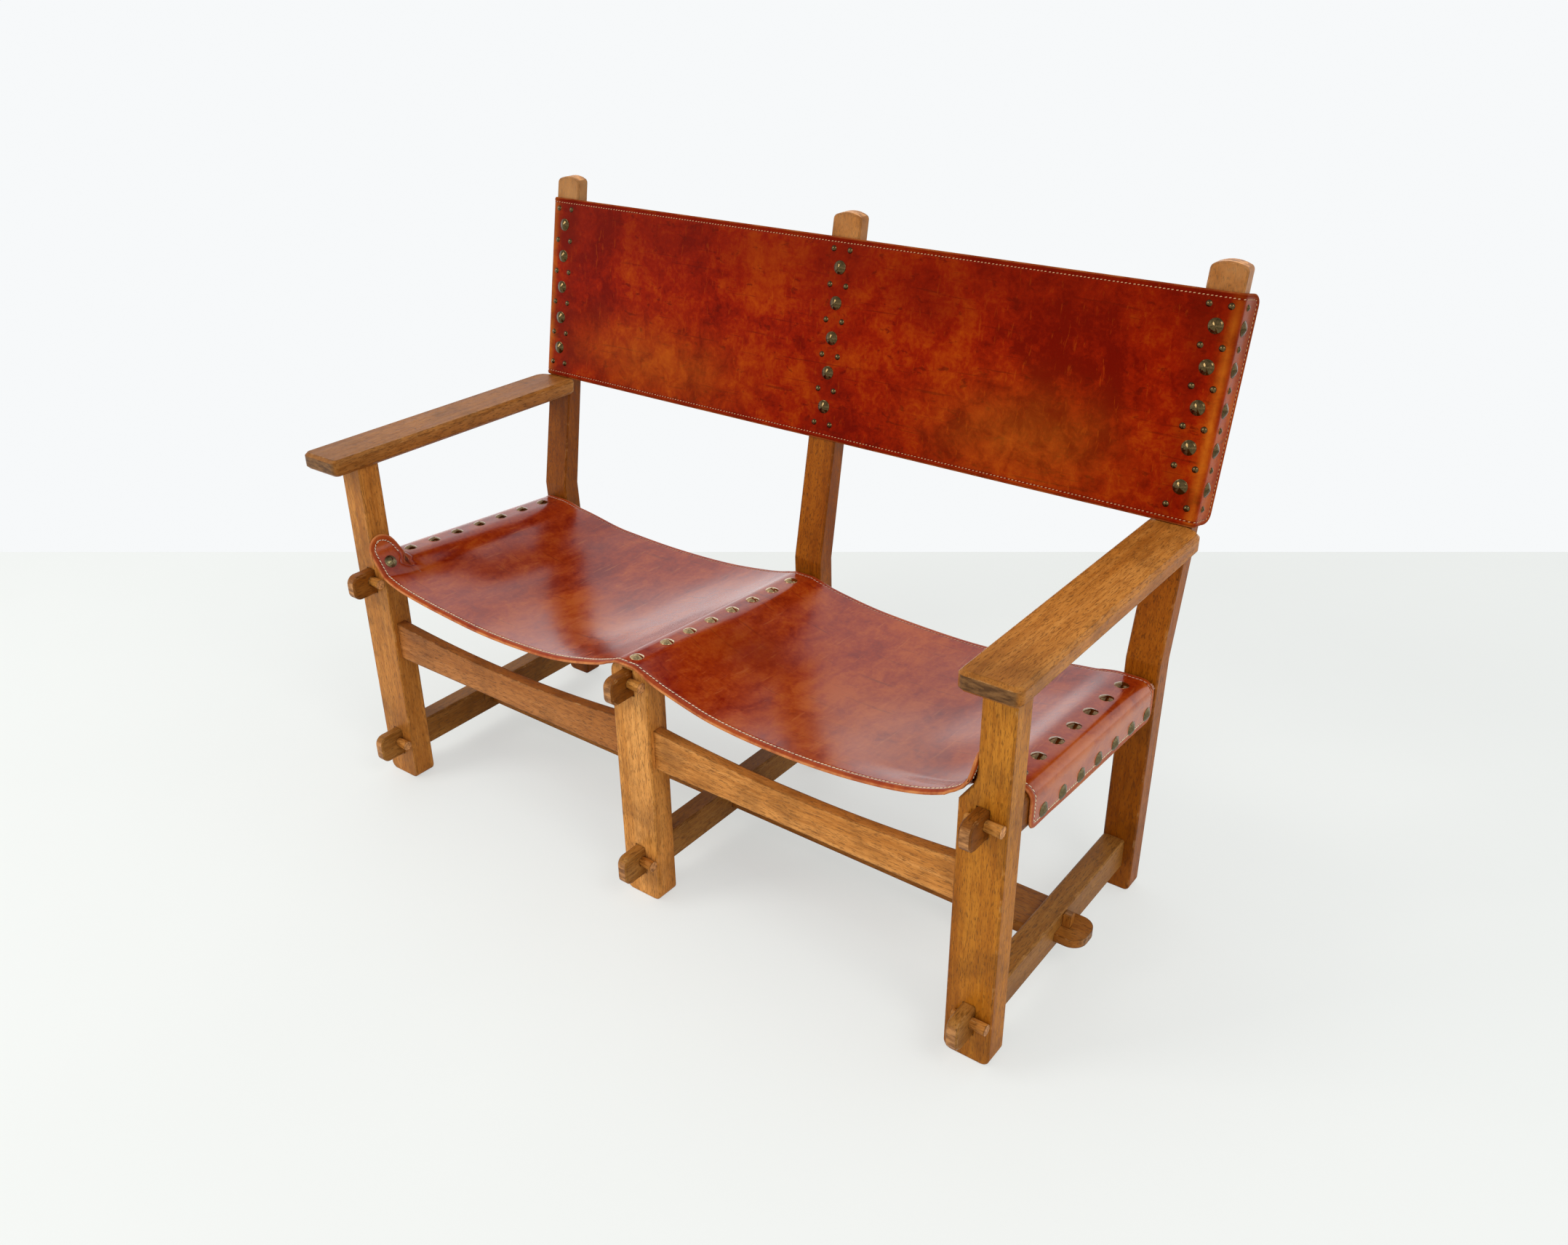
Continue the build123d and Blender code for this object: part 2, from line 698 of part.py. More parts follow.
def fold_section(y):
    """From the edge of the sling over the outer rail and down its side."""
    low = seat_z(y) - rail_h - flap_under
    edge = sling_edge(y)
    rail_top = seat_z(y)
    turn = rail_flat_out + soft_gap
    inner = rail_out_x + soft_gap
    with BuildSketch(Plane.XZ.offset(-y)) as section:
        with BuildLine():
            ends = ((1, sling_slope_share), (1, 0))
            Spline((sling_half, edge), (rail_flat_in, rail_top), tangents=ends)
            Line((rail_flat_in, rail_top), (turn, rail_top))
            RadiusArc((turn, rail_top), (inner, rail_top - rail_round), rail_round)
            Line((inner, rail_top - rail_round), (inner, low))
            Line((inner, low), (inner + leather_t, low))
            Line((inner + leather_t, low), (inner + leather_t, rail_top - rail_round))
            RadiusArc(
                (turn, rail_top + leather_t), (inner + leather_t, rail_top - rail_round),
                rail_round + leather_t)
            Line((turn, rail_top + leather_t), (rail_flat_in, rail_top + leather_t))
            Spline(
                (sling_half, edge + leather_t), (rail_flat_in, rail_top + leather_t), tangents=ends)
            Line((sling_half, edge + leather_t), (sling_half, edge))
        make_face()
    return section.sketch


def ear_side(y, lift):
    """Line from the edge of the sling up the shoulder of the outer leg, raised by lift."""
    angle = radians(shoulder_slope)
    edge = (sling_half, sling_edge(y) + lift)
    foot = (leg_in - (soft_gap + lift) * sin(angle), shoulder_low + (soft_gap + lift) * cos(angle))
    radius = shoulder_radius - soft_gap - lift
    bend = shoulder_point(shoulder_slope, radius)
    rise = shoulder_point((shoulder_slope + 90) / 2, radius)
    upright = shoulder_point(90, radius)
    tip = (upright[0], shoulder_high + lobe_over)
    Spline(edge, foot, tangents=((1, sling_slope_share), (cos(angle), sin(angle))))
    Line(foot, bend)
    ThreePointArc(bend, rise, upright)
    Line(upright, tip)
    return edge, tip


def ear_section(y):
    """Slice of the ear, from the edge of the sling to its tip."""
    with BuildSketch(Plane.XZ.offset(-y)) as section:
        with BuildLine():
            under_edge, under_tip = ear_side(y, 0)
            upper_edge, upper_tip = ear_side(y, leather_t)
            Line(under_edge, upper_edge)
            Line(under_tip, upper_tip)
        make_face()
    return section.sketch


with BuildPart() as seat_leather:
    loft([sling_section(y) for y in ear_places + fold_places], ruled=True)
    loft([fold_section(y) for y in fold_places], ruled=True)
    loft([ear_section(y) for y in ear_places], ruled=True)
    ear_tips = seat_leather.edges().filter_by(Axis.X).group_by(Axis.Z)[-1]
    fillet(ear_tips, radius=lobe_round)
    flap_corners = seat_leather.edges().filter_by(Axis.X).filter_by(
        lambda edge: edge.center().X > rail_out_x)
    fillet(flap_corners, radius=flap_round)
    mirror(about=Plane.YZ)
seat_leather.part.label = "seat_leather"


# Back leather: one sheet on the fronts of the posts, folded round the outer ones

back_fold = post_ease


def back_section(up):
    """Right half of the sheet, square to the rake, at a place up the rake."""
    z = post_bend + up * cos(rake)
    origin = (0, bend_y + up * sin(rake), z)
    side = post_x(z) + post_w / 2 + soft_gap
    plane = Plane(origin=origin, x_dir=(1, 0, 0), z_dir=(0, sin(rake), cos(rake)))
    with BuildSketch(plane) as section:
        with BuildLine():
            Line((0, 0), (side - back_fold, 0))
            RadiusArc((side - back_fold, 0), (side, back_fold), -back_fold)
            Line((side, back_fold), (side, back_reach))
            Line((side, back_reach), (side + leather_t, back_reach))
            Line((side + leather_t, back_reach), (side + leather_t, back_fold))
            RadiusArc(
                (side - back_fold, -leather_t), (side + leather_t, back_fold),
                -back_fold - leather_t)
            Line((side - back_fold, -leather_t), (0, -leather_t))
            Line((0, -leather_t), (0, 0))
        make_face()
    return section.sketch


with BuildPart() as back_leather:
    loft([back_section(back_low), back_section(back_high)], ruled=True)
    corners = back_leather.edges().filter_by(Axis.X).filter_by(
        lambda edge: edge.length < 2 * leather_t)
    fillet(corners, radius=back_corner)
    mirror(about=Plane.YZ)
back_leather.part.label = "back_leather"


# Nail heads: low domes with a blunt peak, set on the leather

def dome(radius, height, sides, shares):
    """A nail head standing on the ground plane."""
    levels = []
    for across, up in shares:
        with BuildSketch(Plane.XY.offset(height * up)) as level:
            RegularPolygon(radius * across, sides)
        levels.append(level.sketch)
    loft(levels, ruled=True)


with BuildPart() as nail_head:
    dome(nail_r, nail_h, nail_sides, nail_shares)

with BuildPart() as stud_head:
    dome(stud_r, stud_h, stud_sides, stud_shares)


def nail_row(start, end):
    """Places along Y of a row of seat nails, from the leg's front and the post's."""
    step = (seat_depth - start - end) / (seat_nail_count - 1)
    return [leg_front + start + k * step for k in range(seat_nail_count)]


top_row = nail_row(seat_nail_start, seat_nail_end)
flap_row = nail_row(flap_nail_start, flap_nail_end)
seat_up = (0, sin(radians(seat_fall)), cos(radians(seat_fall)))
top_spots = [(x, y) for x in (-rail_x, 0, rail_x) for y in top_row]
top_spots.append((0, leg_front + seat_nail_front))
seat_spots = [Plane(origin=(x, y, seat_z(y) + leather_t), z_dir=seat_up) for x, y in top_spots]
for side in (-1, 1):
    for y in flap_row:
        seat_spots.append(Plane(
            origin=(side * (rail_out_x + soft_gap + leather_t), y, seat_z(y) - flap_nail_drop),
            z_dir=(side, 0, 0)))
    lift = soft_gap + leather_t
    nail_x = leg_in + shoulder_run / 2 - lift * sin(slope)
    nail_z = shoulder_low + shoulder_run / 2 * tan(slope) + lift * cos(slope)
    seat_spots.append(Plane(
        origin=(side * nail_x, leg_front + lobe_nail_y, nail_z),
        z_dir=(-side * sin(slope), 0, cos(slope))))

with BuildPart() as seat_nails:
    with Locations(*seat_spots):
        add(nail_head.part)
seat_nails.part.label = "seat_nails"

back_normal = (0, -cos(rake), sin(rake))
lean_up = lean * cos(rake)


def face_spot(side, offset, up):
    """Plane on the face of the back leather, beside the middle of a post."""
    z = post_bend + up * cos(rake)
    x = side * post_x(z) + offset
    y = bend_y + up * sin(rake)
    return Plane(
        origin=(x, y + leather_t * back_normal[1], z + leather_t * back_normal[2]),
        z_dir=back_normal,
    )


def flap_spot(side, up):
    """Plane on a side flap of the back leather."""
    z = post_bend + up * cos(rake)
    x = post_x(z) + post_w / 2 + soft_gap + leather_t
    y = bend_y + up * sin(rake) + back_flap_nail * cos(rake)
    return Plane(
        origin=(side * x, y, z - back_flap_nail * sin(rake)),
        z_dir=(side, -lean_up * sin(rake), -lean_up * cos(rake)),
    )


back_step = (back_high - back_low - back_nail_first - back_nail_last) / (back_nail_count - 1)
nail_rows = [back_high - back_nail_first - k * back_step for k in range(back_nail_count)]
stud_rows = [nail_rows[0] + back_step / 2] + [up - back_step / 2 for up in nail_rows]

with BuildPart() as back_nails:
    spots = [face_spot(side, 0, up) for side in (-1, 0, 1) for up in nail_rows]
    spots += [flap_spot(side, up) for side in (-1, 1) for up in nail_rows]
    with Locations(*spots):
        add(nail_head.part)
back_nails.part.label = "back_nails"

with BuildPart() as back_studs:
    pairs = (-stud_half, stud_half)
    spots = [face_spot(side, off, up) for side in (-1, 0, 1) for off in pairs for up in stud_rows]
    spots += [flap_spot(side, up) for side in (-1, 1) for up in stud_rows]
    with Locations(*spots):
        add(stud_head.part)
back_studs.part.label = "back_studs"


pieces = [
    front_leg_left, front_leg_middle, front_leg_right,
    rear_post_left, rear_post_middle, rear_post_right,
    seat_rail_left, seat_rail_middle, seat_rail_right,
    side_stretcher_left, side_stretcher_middle, side_stretcher_right,
    long_stretcher, long_key_left, long_key_right,
    front_rail_left, front_rail_right, rear_rail_left, rear_rail_right,
    arm_left, arm_right, seat_leather, back_leather,
    seat_nails, back_nails, back_studs,
]
for piece in pieces:
    export_step(piece.part, f"parts/{piece.part.label}.step")
for peg in pegs:
    export_step(peg, f"parts/{peg.label}.step")
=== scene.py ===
import math
import bpy
import bmesh
import numpy as np
from mathutils import Matrix, Vector, noise


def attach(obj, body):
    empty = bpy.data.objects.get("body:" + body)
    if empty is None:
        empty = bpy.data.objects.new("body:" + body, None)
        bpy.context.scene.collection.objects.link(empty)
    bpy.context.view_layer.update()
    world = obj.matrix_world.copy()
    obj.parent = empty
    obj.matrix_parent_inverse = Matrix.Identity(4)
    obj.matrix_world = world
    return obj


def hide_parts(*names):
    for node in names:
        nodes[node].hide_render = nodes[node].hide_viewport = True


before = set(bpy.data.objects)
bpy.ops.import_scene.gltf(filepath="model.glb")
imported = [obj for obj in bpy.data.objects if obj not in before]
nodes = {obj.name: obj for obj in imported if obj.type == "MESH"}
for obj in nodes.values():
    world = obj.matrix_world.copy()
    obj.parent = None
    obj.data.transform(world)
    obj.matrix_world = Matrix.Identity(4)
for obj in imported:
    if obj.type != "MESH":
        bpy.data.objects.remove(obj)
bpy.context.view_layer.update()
print("frame loaded,", len(nodes), "nodes")


# shared helpers

def activate(piece):
    bpy.ops.object.select_all(action='DESELECT')
    piece.select_set(True)
    bpy.context.view_layer.objects.active = piece


def applyModifier(piece, kind, name, **settings):
    activate(piece)
    modifier = piece.modifiers.new(name, kind)
    for key, value in settings.items():
        setattr(modifier, key, value)
    bpy.ops.object.modifier_apply(modifier=name)


def smoothstep(value, low, high):
    t = min(1.0, max(0.0, (value - low) / (high - low)))
    return t * t * (3 - 2 * t)


def alongLine(points, lengths, wanted):
    # point at a length along a flat polyline
    k = int(np.searchsorted(lengths, wanted)) - 1
    k = min(max(k, 0), len(points) - 2)
    share = (wanted - lengths[k]) / (lengths[k + 1] - lengths[k])
    (xa, za), (xb, zb) = points[k], points[k + 1]
    return xa + (xb - xa) * share, za + (zb - za) * share


def measured(points):
    lengths = [0.0]
    for (xa, za), (xb, zb) in zip(points, points[1:]):
        lengths.append(lengths[-1] + math.hypot(xb - xa, zb - za))
    return points, lengths


def cubic(t, start, end, riseStart, riseEnd):
    # smooth way from one value to another, with the rises that the slopes at both ends would give
    return (start * (2 * t ** 3 - 3 * t ** 2 + 1) + end * (3 * t ** 2 - 2 * t ** 3)
            + riseStart * (t ** 3 - 2 * t ** 2 + t) + riseEnd * (t ** 3 - t ** 2))


def curvedLine(start, end, slopeStart, slopeEnd, count=10):
    run = end[0] - start[0]
    return [(start[0] + run * k / count,
             cubic(k / count, start[1], end[1], run * slopeStart, run * slopeEnd)) for k in range(count + 1)]


def arcLine(centre, radius, fromAngle, toAngle, count=10):
    angles = [math.radians(fromAngle + (toAngle - fromAngle) * k / count) for k in range(count + 1)]
    return [(centre[0] + radius * math.cos(a), centre[1] + radius * math.sin(a)) for a in angles]


def roundedEdge(low, high, radius):
    # places along an edge from one rounded corner to the other, close together in the corners
    steps = [radius * (1 - math.cos(math.radians(a))) for a in range(0, 91, 10)]
    return [low + step for step in steps] + [high - step for step in reversed(steps)]


def cornerCut(near, radius):
    # what a rounded corner takes off the length, at a distance from the end of the edge
    if near >= radius:
        return 0.0
    return radius - math.sqrt(max(0.0, radius ** 2 - (radius - near) ** 2))


def hump(value, middle, width):
    return math.exp(-((value - middle) / width) ** 2)


def blots(x, y, spots):
    # strength of soft patches, each given by its place, size and strength
    return sum(amount * hump(x, px, width) * hump(y, py, height) for (px, py), (width, height), amount in spots)


def edgeDistance(outline, places):
    # shortest way from each flat place to the outline
    start = np.array(outline[:-1])
    step = np.array(outline[1:]) - start
    size = np.maximum((step ** 2).sum(1), 1e-9)
    found = []
    for place in places:
        off = np.array(place) - start
        t = np.clip((off * step).sum(1) / size, 0, 1)
        found.append(float(np.sqrt(((off - step * t[:, None]) ** 2).sum(1)).min()))
    return found


def insetLine(outline, inset):
    # dense copy of a closed outline moved inwards, without the places that fold over
    dense = []
    for (xa, ya), (xb, yb) in zip(outline, outline[1:]):
        count = max(1, int(math.hypot(xb - xa, yb - ya)))  # about one a millimetre
        dense += [(xa + (xb - xa) * k / count, ya + (yb - ya) * k / count) for k in range(count)]
    moved = []
    for k, (x, y) in enumerate(dense):
        (xa, ya), (xb, yb) = dense[k - 1], dense[(k + 1) % len(dense)]
        length = math.hypot(xb - xa, yb - ya) or 1.0
        moved.append((x - (yb - ya) / length * inset, y + (xb - xa) / length * inset))
    slack = 0.25
    away = edgeDistance(outline, moved)
    return [place for place, gap in zip(moved, away) if gap > inset - slack]


def rimWeight(gap, look):
    # share of the full thickness at a distance from the edge: rounded, a bead, then the stitch groove
    thinnest = 0.22
    if gap < look["round"]:
        return max(thinnest, look["body"] * math.sqrt(max(0, 1 - (1 - gap / look["round"]) ** 2)))
    if gap < look["rim"]:
        t = (gap - look["round"]) / (look["rim"] - look["round"])
        return look["body"] + (1 - look["body"]) * math.sin(math.pi * t)
    return look["body"] - look["groove"] * hump(gap, look["stitch"], 1.3)


def layGrid(name, across, along, place):
    # a grid whose corners are then each put at their place
    bpy.ops.mesh.primitive_grid_add(x_subdivisions=across, y_subdivisions=along, size=1, location=(0, 0, 0))
    piece = bpy.context.active_object
    piece.name = name
    piece.data.name = name
    for corner in piece.data.vertices:
        i = round((corner.co.x + 0.5) * across)
        j = round((corner.co.y + 0.5) * along)
        corner.co = place(i, j)
    return piece


def joinCopies(name, model, matrices):
    # one piece out of many copies of a modelled one
    shape = [v.co.copy() for v in model.data.vertices]
    faces = [tuple(f.vertices) for f in model.data.polygons]
    points = []
    polygons = []
    for matrix in matrices:
        base = len(points)
        points += [matrix @ co for co in shape]
        polygons += [tuple(base + k for k in face) for face in faces]
    mesh = bpy.data.meshes.new(name)
    mesh.from_pydata([tuple(p) for p in points], [], polygons)
    mesh.update()
    piece = bpy.data.objects.new(name, mesh)
    bpy.context.scene.collection.objects.link(piece)
    activate(piece)
    bpy.ops.object.shade_smooth()
    return piece


def standing(place, normal, ahead):
    # matrix with Z on the normal and X towards a direction
    up = normal.normalized()
    right = (ahead - up * ahead.dot(up)).normalized()
    turn = Matrix((right, up.cross(right), up)).transposed().to_4x4()
    return Matrix.Translation(place) @ turn


# materials

def newMaterial(name):
    material = bpy.data.materials.new(name)
    material.use_nodes = True
    tree = material.node_tree
    return material, tree, tree.nodes["Principled BSDF"]


def addNode(tree, kind, **values):
    node = tree.nodes.new(kind)
    for key, value in values.items():
        if hasattr(node, key):
            setattr(node, key, value)
        else:
            node.inputs[key].default_value = value
    return node


def colourRamp(tree, stops, factor):
    node = tree.nodes.new("ShaderNodeValToRGB")
    ramp = node.color_ramp
    while len(ramp.elements) < len(stops):
        ramp.elements.new(0.5)
    for element, (place, colour) in zip(ramp.elements, stops):
        element.position = place
        element.color = (*colour, 1)
    tree.links.new(factor, node.inputs["Fac"])
    return node.outputs["Color"]


def feed(tree, socket, value):
    # a link from another node, or a fixed number or colour
    if isinstance(value, bpy.types.NodeSocket):
        tree.links.new(value, socket)
    else:
        socket.default_value = (*value, 1) if isinstance(value, tuple) else value


def mixColour(tree, factor, first, second, blend='MIX'):
    node = tree.nodes.new("ShaderNodeMix")
    node.data_type = 'RGBA'
    node.blend_type = blend
    for number, value in ((0, factor), (6, first), (7, second)):
        feed(tree, node.inputs[number], value)
    return node.outputs[2]


def mathNode(tree, operation, first, second=0.0, clamp=False):
    node = tree.nodes.new("ShaderNodeMath")
    node.operation = operation
    node.use_clamp = clamp
    feed(tree, node.inputs[0], first)
    feed(tree, node.inputs[1], second)
    return node.outputs[0]


def added(tree, *parts):
    # sum of values, each with its factor
    total = mathNode(tree, 'MULTIPLY', *parts[-1])
    for value, factor in reversed(parts[:-1]):
        total = mathNode(tree, 'ADD', mathNode(tree, 'MULTIPLY', value, factor), total)
    return total


def spread(tree, value, low, high, toLow=0.0, toHigh=1.0):
    node = tree.nodes.new("ShaderNodeMapRange")
    tree.links.new(value, node.inputs["Value"])
    for key, number in (("From Min", low), ("From Max", high), ("To Min", toLow), ("To Max", toHigh)):
        node.inputs[key].default_value = number
    return node.outputs["Result"]


def noiseAt(tree, vector, scale, detail=3.0, rough=0.55, warp=0.0):
    node = addNode(tree, "ShaderNodeTexNoise", Scale=scale, Detail=detail, Roughness=rough, Distortion=warp)
    tree.links.new(vector, node.inputs["Vector"])
    return node.outputs["Fac"]


def mapped(tree, scale, shift=(0, 0, 0)):
    place = tree.nodes.new("ShaderNodeTexCoord")
    mapping = tree.nodes.new("ShaderNodeMapping")
    mapping.inputs["Scale"].default_value = scale
    mapping.inputs["Location"].default_value = shift
    tree.links.new(place.outputs["Object"], mapping.inputs["Vector"])
    return mapping.outputs["Vector"]


def component(tree, vector, axis):
    node = tree.nodes.new("ShaderNodeSeparateXYZ")
    tree.links.new(vector, node.inputs[0])
    return node.outputs[axis]


def addBump(tree, surface, height, strength, distance):
    node = addNode(tree, "ShaderNodeBump", Strength=strength, Distance=distance)
    tree.links.new(height, node.inputs["Height"])
    tree.links.new(node.outputs["Normal"], surface.inputs["Normal"])
    return node


oak = {
    "light": (0.5, 0.21, 0.038),
    "middle": (0.4, 0.146, 0.019),
    "dark": (0.27, 0.083, 0.008),
    "pore": (0.11, 0.035, 0.004),
    "worn": (0.58, 0.33, 0.13),
    "grime": (0.07, 0.026, 0.007),
    "end": ((0.12, 0.048, 0.016), (0.3, 0.135, 0.045)),
    "haze": (1.0, 0.72, 0.4),
    "rough": (0.36, 0.52),
}


def oakMaterial(name, axis, shift, tint, endTone, handled):
    # oak with the grain along one axis: soft figure, fine dark flecks, dirty and rubbed edges
    material, tree, surface = newMaterial(name)
    link = tree.links.new
    stretch = [1.0, 1.0, 1.0]
    stretch["XYZ".index(axis)] = 0.06
    along = mapped(tree, tuple(stretch), shift)
    dashes = mapped(tree, tuple(0.14 if v < 1 else 1.0 for v in stretch), shift)
    plain = mapped(tree, (1, 1, 1), shift)
    broad = noiseAt(tree, along, 22, 4, 0.55, 0.5)
    streak = noiseAt(tree, along, 230, 4, 0.65, 0.3)
    pores = noiseAt(tree, dashes, 640, 3, 0.6)
    patches = noiseAt(tree, plain, 11, 5, 0.65)
    fleck = noiseAt(tree, dashes, 150, 4, 0.7, 0.4)
    figure = addNode(tree, "ShaderNodeTexWave", wave_type='RINGS', rings_direction=axis,
                     Scale=24.0, Distortion=6.0, Detail=3.0)
    figure.inputs["Detail Scale"].default_value = 1.6
    link(along, figure.inputs["Vector"])
    base = colourRamp(tree, [(0.3, oak["dark"]), (0.48, oak["middle"]), (0.68, oak["light"])], broad)
    streaked = mixColour(tree, spread(tree, streak, 0.5, 0.64, 0.0, 0.38), base, oak["light"])
    lined = mixColour(tree, spread(tree, streak, 0.46, 0.34, 0.0, 0.4), streaked, oak["dark"])
    figured = mixColour(tree, spread(tree, figure.outputs["Fac"], 0.55, 0.95, 0.0, 0.22), lined, oak["dark"])
    flecked = mixColour(tree, spread(tree, fleck, 0.5, 0.64, 0.0, 0.6), figured, oak["dark"])
    pored = mixColour(tree, spread(tree, pores, 0.54, 0.61, 0.0, 0.62), flecked, oak["pore"])
    shaded = mixColour(tree, spread(tree, patches, 0.5, 0.7, 0.0, 0.5), pored, oak["pore"])
    toned = mixColour(tree, 1.0, shaded, tint, 'MULTIPLY')
    if handled:  # changed by hands towards one end of the piece
        place = component(tree, mapped(tree, (1, 1, 1)), handled["axis"])
        ending = spread(tree, place, *handled["along"], 0.0, handled["share"])
        uneven = spread(tree, patches, *handled["uneven"])
        toned = mixColour(tree, mathNode(tree, 'MULTIPLY', ending, uneven), toned, oak[handled["colour"]])
    soft = addNode(tree, "ShaderNodeBevel", samples=4, Radius=0.0034)
    solid = tree.nodes.new("ShaderNodeNewGeometry")
    facing = addNode(tree, "ShaderNodeVectorMath", operation='DOT_PRODUCT')
    link(soft.outputs["Normal"], facing.inputs[0])
    link(solid.outputs["True Normal"], facing.inputs[1])
    edge = spread(tree, facing.outputs["Value"], 0.99, 0.88)
    chips = noiseAt(tree, plain, 46, 4, 0.65)
    dirty = mathNode(tree, 'MULTIPLY', edge, spread(tree, chips, 0.6, 0.42, 0.0, 0.85), True)
    grimed = mixColour(tree, dirty, toned, oak["grime"])
    rubbed = mathNode(tree, 'MULTIPLY', edge, spread(tree, chips, 0.55, 0.66, 0.0, 0.8), True)
    worn = mixColour(tree, rubbed, grimed, oak["worn"])
    across = addNode(tree, "ShaderNodeVectorMath", operation='DOT_PRODUCT')
    link(solid.outputs["True Normal"], across.inputs[0])
    across.inputs[1].default_value = [1.0 if axis == a else 0.0 for a in "XYZ"]
    cut = spread(tree, mathNode(tree, 'ABSOLUTE', across.outputs["Value"]), 0.75, 0.95)
    scored = noiseAt(tree, mapped(tree, tuple(0.3 if a == "X" else 1.0 for a in "XYZ"), shift), 190, 3)
    endColours = [tuple(c * endTone for c in colour) for colour in oak["end"]]
    sawn = colourRamp(tree, list(zip((0.38, 0.62), endColours)), scored)
    ended = mixColour(tree, cut, worn, sawn)
    nicks = noiseAt(tree, mapped(tree, (1.0, 1.0, 0.4), shift), 60, 5, 0.7)
    nicked = mixColour(tree, spread(tree, nicks, 0.66, 0.72, 0.0, 0.7), ended, oak["grime"])
    link(nicked, surface.inputs["Base Color"])
    link(spread(tree, streak, 0.3, 0.7, *oak["rough"]), surface.inputs["Roughness"])
    surface.inputs["Specular IOR Level"].default_value = 0.2
    surface.inputs["Specular Tint"].default_value = (*oak["haze"], 1)
    height = mathNode(tree, 'SUBTRACT', mathNode(tree, 'MULTIPLY', streak, 0.5),
                      mathNode(tree, 'MULTIPLY', spread(tree, pores, 0.58, 0.68), 0.7))
    link(soft.outputs["Normal"], addBump(tree, surface, height, 0.45, 0.0007).inputs["Normal"])
    return material


def leatherMaterial(name, look):
    # mottled hide, darker and lighter patches, burnished border, pull marks, rubbed wear with painted light over
    # the folds and flaps, painted shade along the stitch groove
    material, tree, surface = newMaterial(name)
    link = tree.links.new
    plain = mapped(tree, (1, 1, 1), look["shift"])
    lying = mapped(tree, look["lie"], look["shift"])
    broad = noiseAt(tree, lying, look["patch"], 4, 0.6, 0.8)
    small = noiseAt(tree, lying, look["patch"] * 5, 5, 0.68, 0.5)
    speck = noiseAt(tree, plain, 160, 4, 0.6)
    fine = noiseAt(tree, plain, 900, 2, 0.5)
    blend = added(tree, (broad, 0.42), (small, 0.4), (speck, 0.18))
    base = colourRamp(tree, list(zip(look["stops"], (look["dark"], look["middle"], look["light"]))), blend)
    for scale, colour, amount in look["scratches"]:
        lines = noiseAt(tree, mapped(tree, scale, look["shift"]), 3.0, 5, 0.6, 0.3)
        base = mixColour(tree, spread(tree, lines, 0.61, 0.68, 0.0, amount), base, colour)
    gap, ridge, shade = (addNode(tree, "ShaderNodeAttribute", attribute_name=name).outputs["Fac"]
                         for name in ("edgeGap", "ridge", "shade"))
    # ridge attribute: rubbed wear and painted light over the folds and side flaps
    rubbed = mathNode(tree, 'MULTIPLY', ridge, spread(tree, small, 0.35, 0.65, 0.4, 1.0))
    wornAndLit = mixColour(tree, rubbed, base, look["ridge"])
    border = spread(tree, gap, look["stitch"] - 1.5, look["stitch"] - 4.5, 0.0, look["rimShare"])
    rim = mathNode(tree, 'MULTIPLY', border, spread(tree, small, 0.35, 0.65, 0.45, 1.0))
    rimmed = mixColour(tree, rim, wornAndLit, look["rimColour"])
    edge = mathNode(tree, 'MULTIPLY', spread(tree, gap, 2.8, 0.8), spread(tree, small, 0.4, 0.6, 0.3, 1.0))
    edged = mixColour(tree, edge, rimmed, look["edge"])
    offLine = mathNode(tree, 'ABSOLUTE', mathNode(tree, 'SUBTRACT', gap, look["stitch"]))
    # painted shade along the stitch groove
    grooveShaded = mixColour(tree, spread(tree, offLine, 1.9, 0.7, 0.0, 0.85), edged, look["dark"])
    darkened = mathNode(tree, 'MULTIPLY', shade, spread(tree, small, 0.3, 0.7, 0.6, 1.0))
    link(mixColour(tree, darkened, grooveShaded, look["shade"]), surface.inputs["Base Color"])
    gloss = mathNode(tree, 'ADD', spread(tree, small, 0.3, 0.7, *look["rough"]),
                     spread(tree, fine, 0.3, 0.7, -0.03, 0.03))
    rimStart, rimEnd = look["stitch"] - 4.0, look["stitch"] - 1.0  # the handled rim has lost its gloss
    link(mathNode(tree, 'ADD', gloss, spread(tree, gap, rimEnd, rimStart, 0.0, 0.3)), surface.inputs["Roughness"])
    link(spread(tree, gap, rimStart, rimEnd, 0.3 * look["specular"], look["specular"]),
         surface.inputs["Specular IOR Level"])
    surface.inputs["Specular Tint"].default_value = (*look["haze"], 1)
    creases = addNode(tree, "ShaderNodeTexVoronoi", feature='DISTANCE_TO_EDGE', Scale=520.0)
    link(plain, creases.inputs["Vector"])
    pebbled = spread(tree, creases.outputs["Distance"], 0.0, 0.12)
    height = added(tree, (pebbled, 0.25), (small, look["relief"]), (fine, 0.12))
    addBump(tree, surface, height, look["bump"], 0.0006)
    return material


def metalMaterial(name, light, dark, rough):
    material, tree, surface = newMaterial(name)
    link = tree.links.new
    plain = mapped(tree, (1, 1, 1))
    spots = noiseAt(tree, plain, 420, 4, 0.6)
    link(colourRamp(tree, [(0.35, dark), (0.62, light)], spots), surface.inputs["Base Color"])
    surface.inputs["Metallic"].default_value = 1.0
    link(spread(tree, spots, 0.35, 0.65, rough + 0.08, rough), surface.inputs["Roughness"])
    addBump(tree, surface, noiseAt(tree, plain, 500, 3), 0.06, 0.0003)
    return material


def threadMaterial(name, colour, rearDarkening):
    material, tree, surface = newMaterial(name)
    place = mapped(tree, (1, 1, 1))
    spots = noiseAt(tree, place, 300, 3)
    darker = tuple(c * 0.72 for c in colour)
    clean = colourRamp(tree, [(0.3, darker), (0.65, colour)], spots)
    rear = spread(tree, component(tree, place, "Y"), 0.12, 0.17, 0.0, rearDarkening)  # darker and redder along the seat's rear edge
    tree.links.new(mixColour(tree, rear, clean, (0.36, 0.1, 0.06)), surface.inputs["Base Color"])
    surface.inputs["Roughness"].default_value = 0.8
    return material


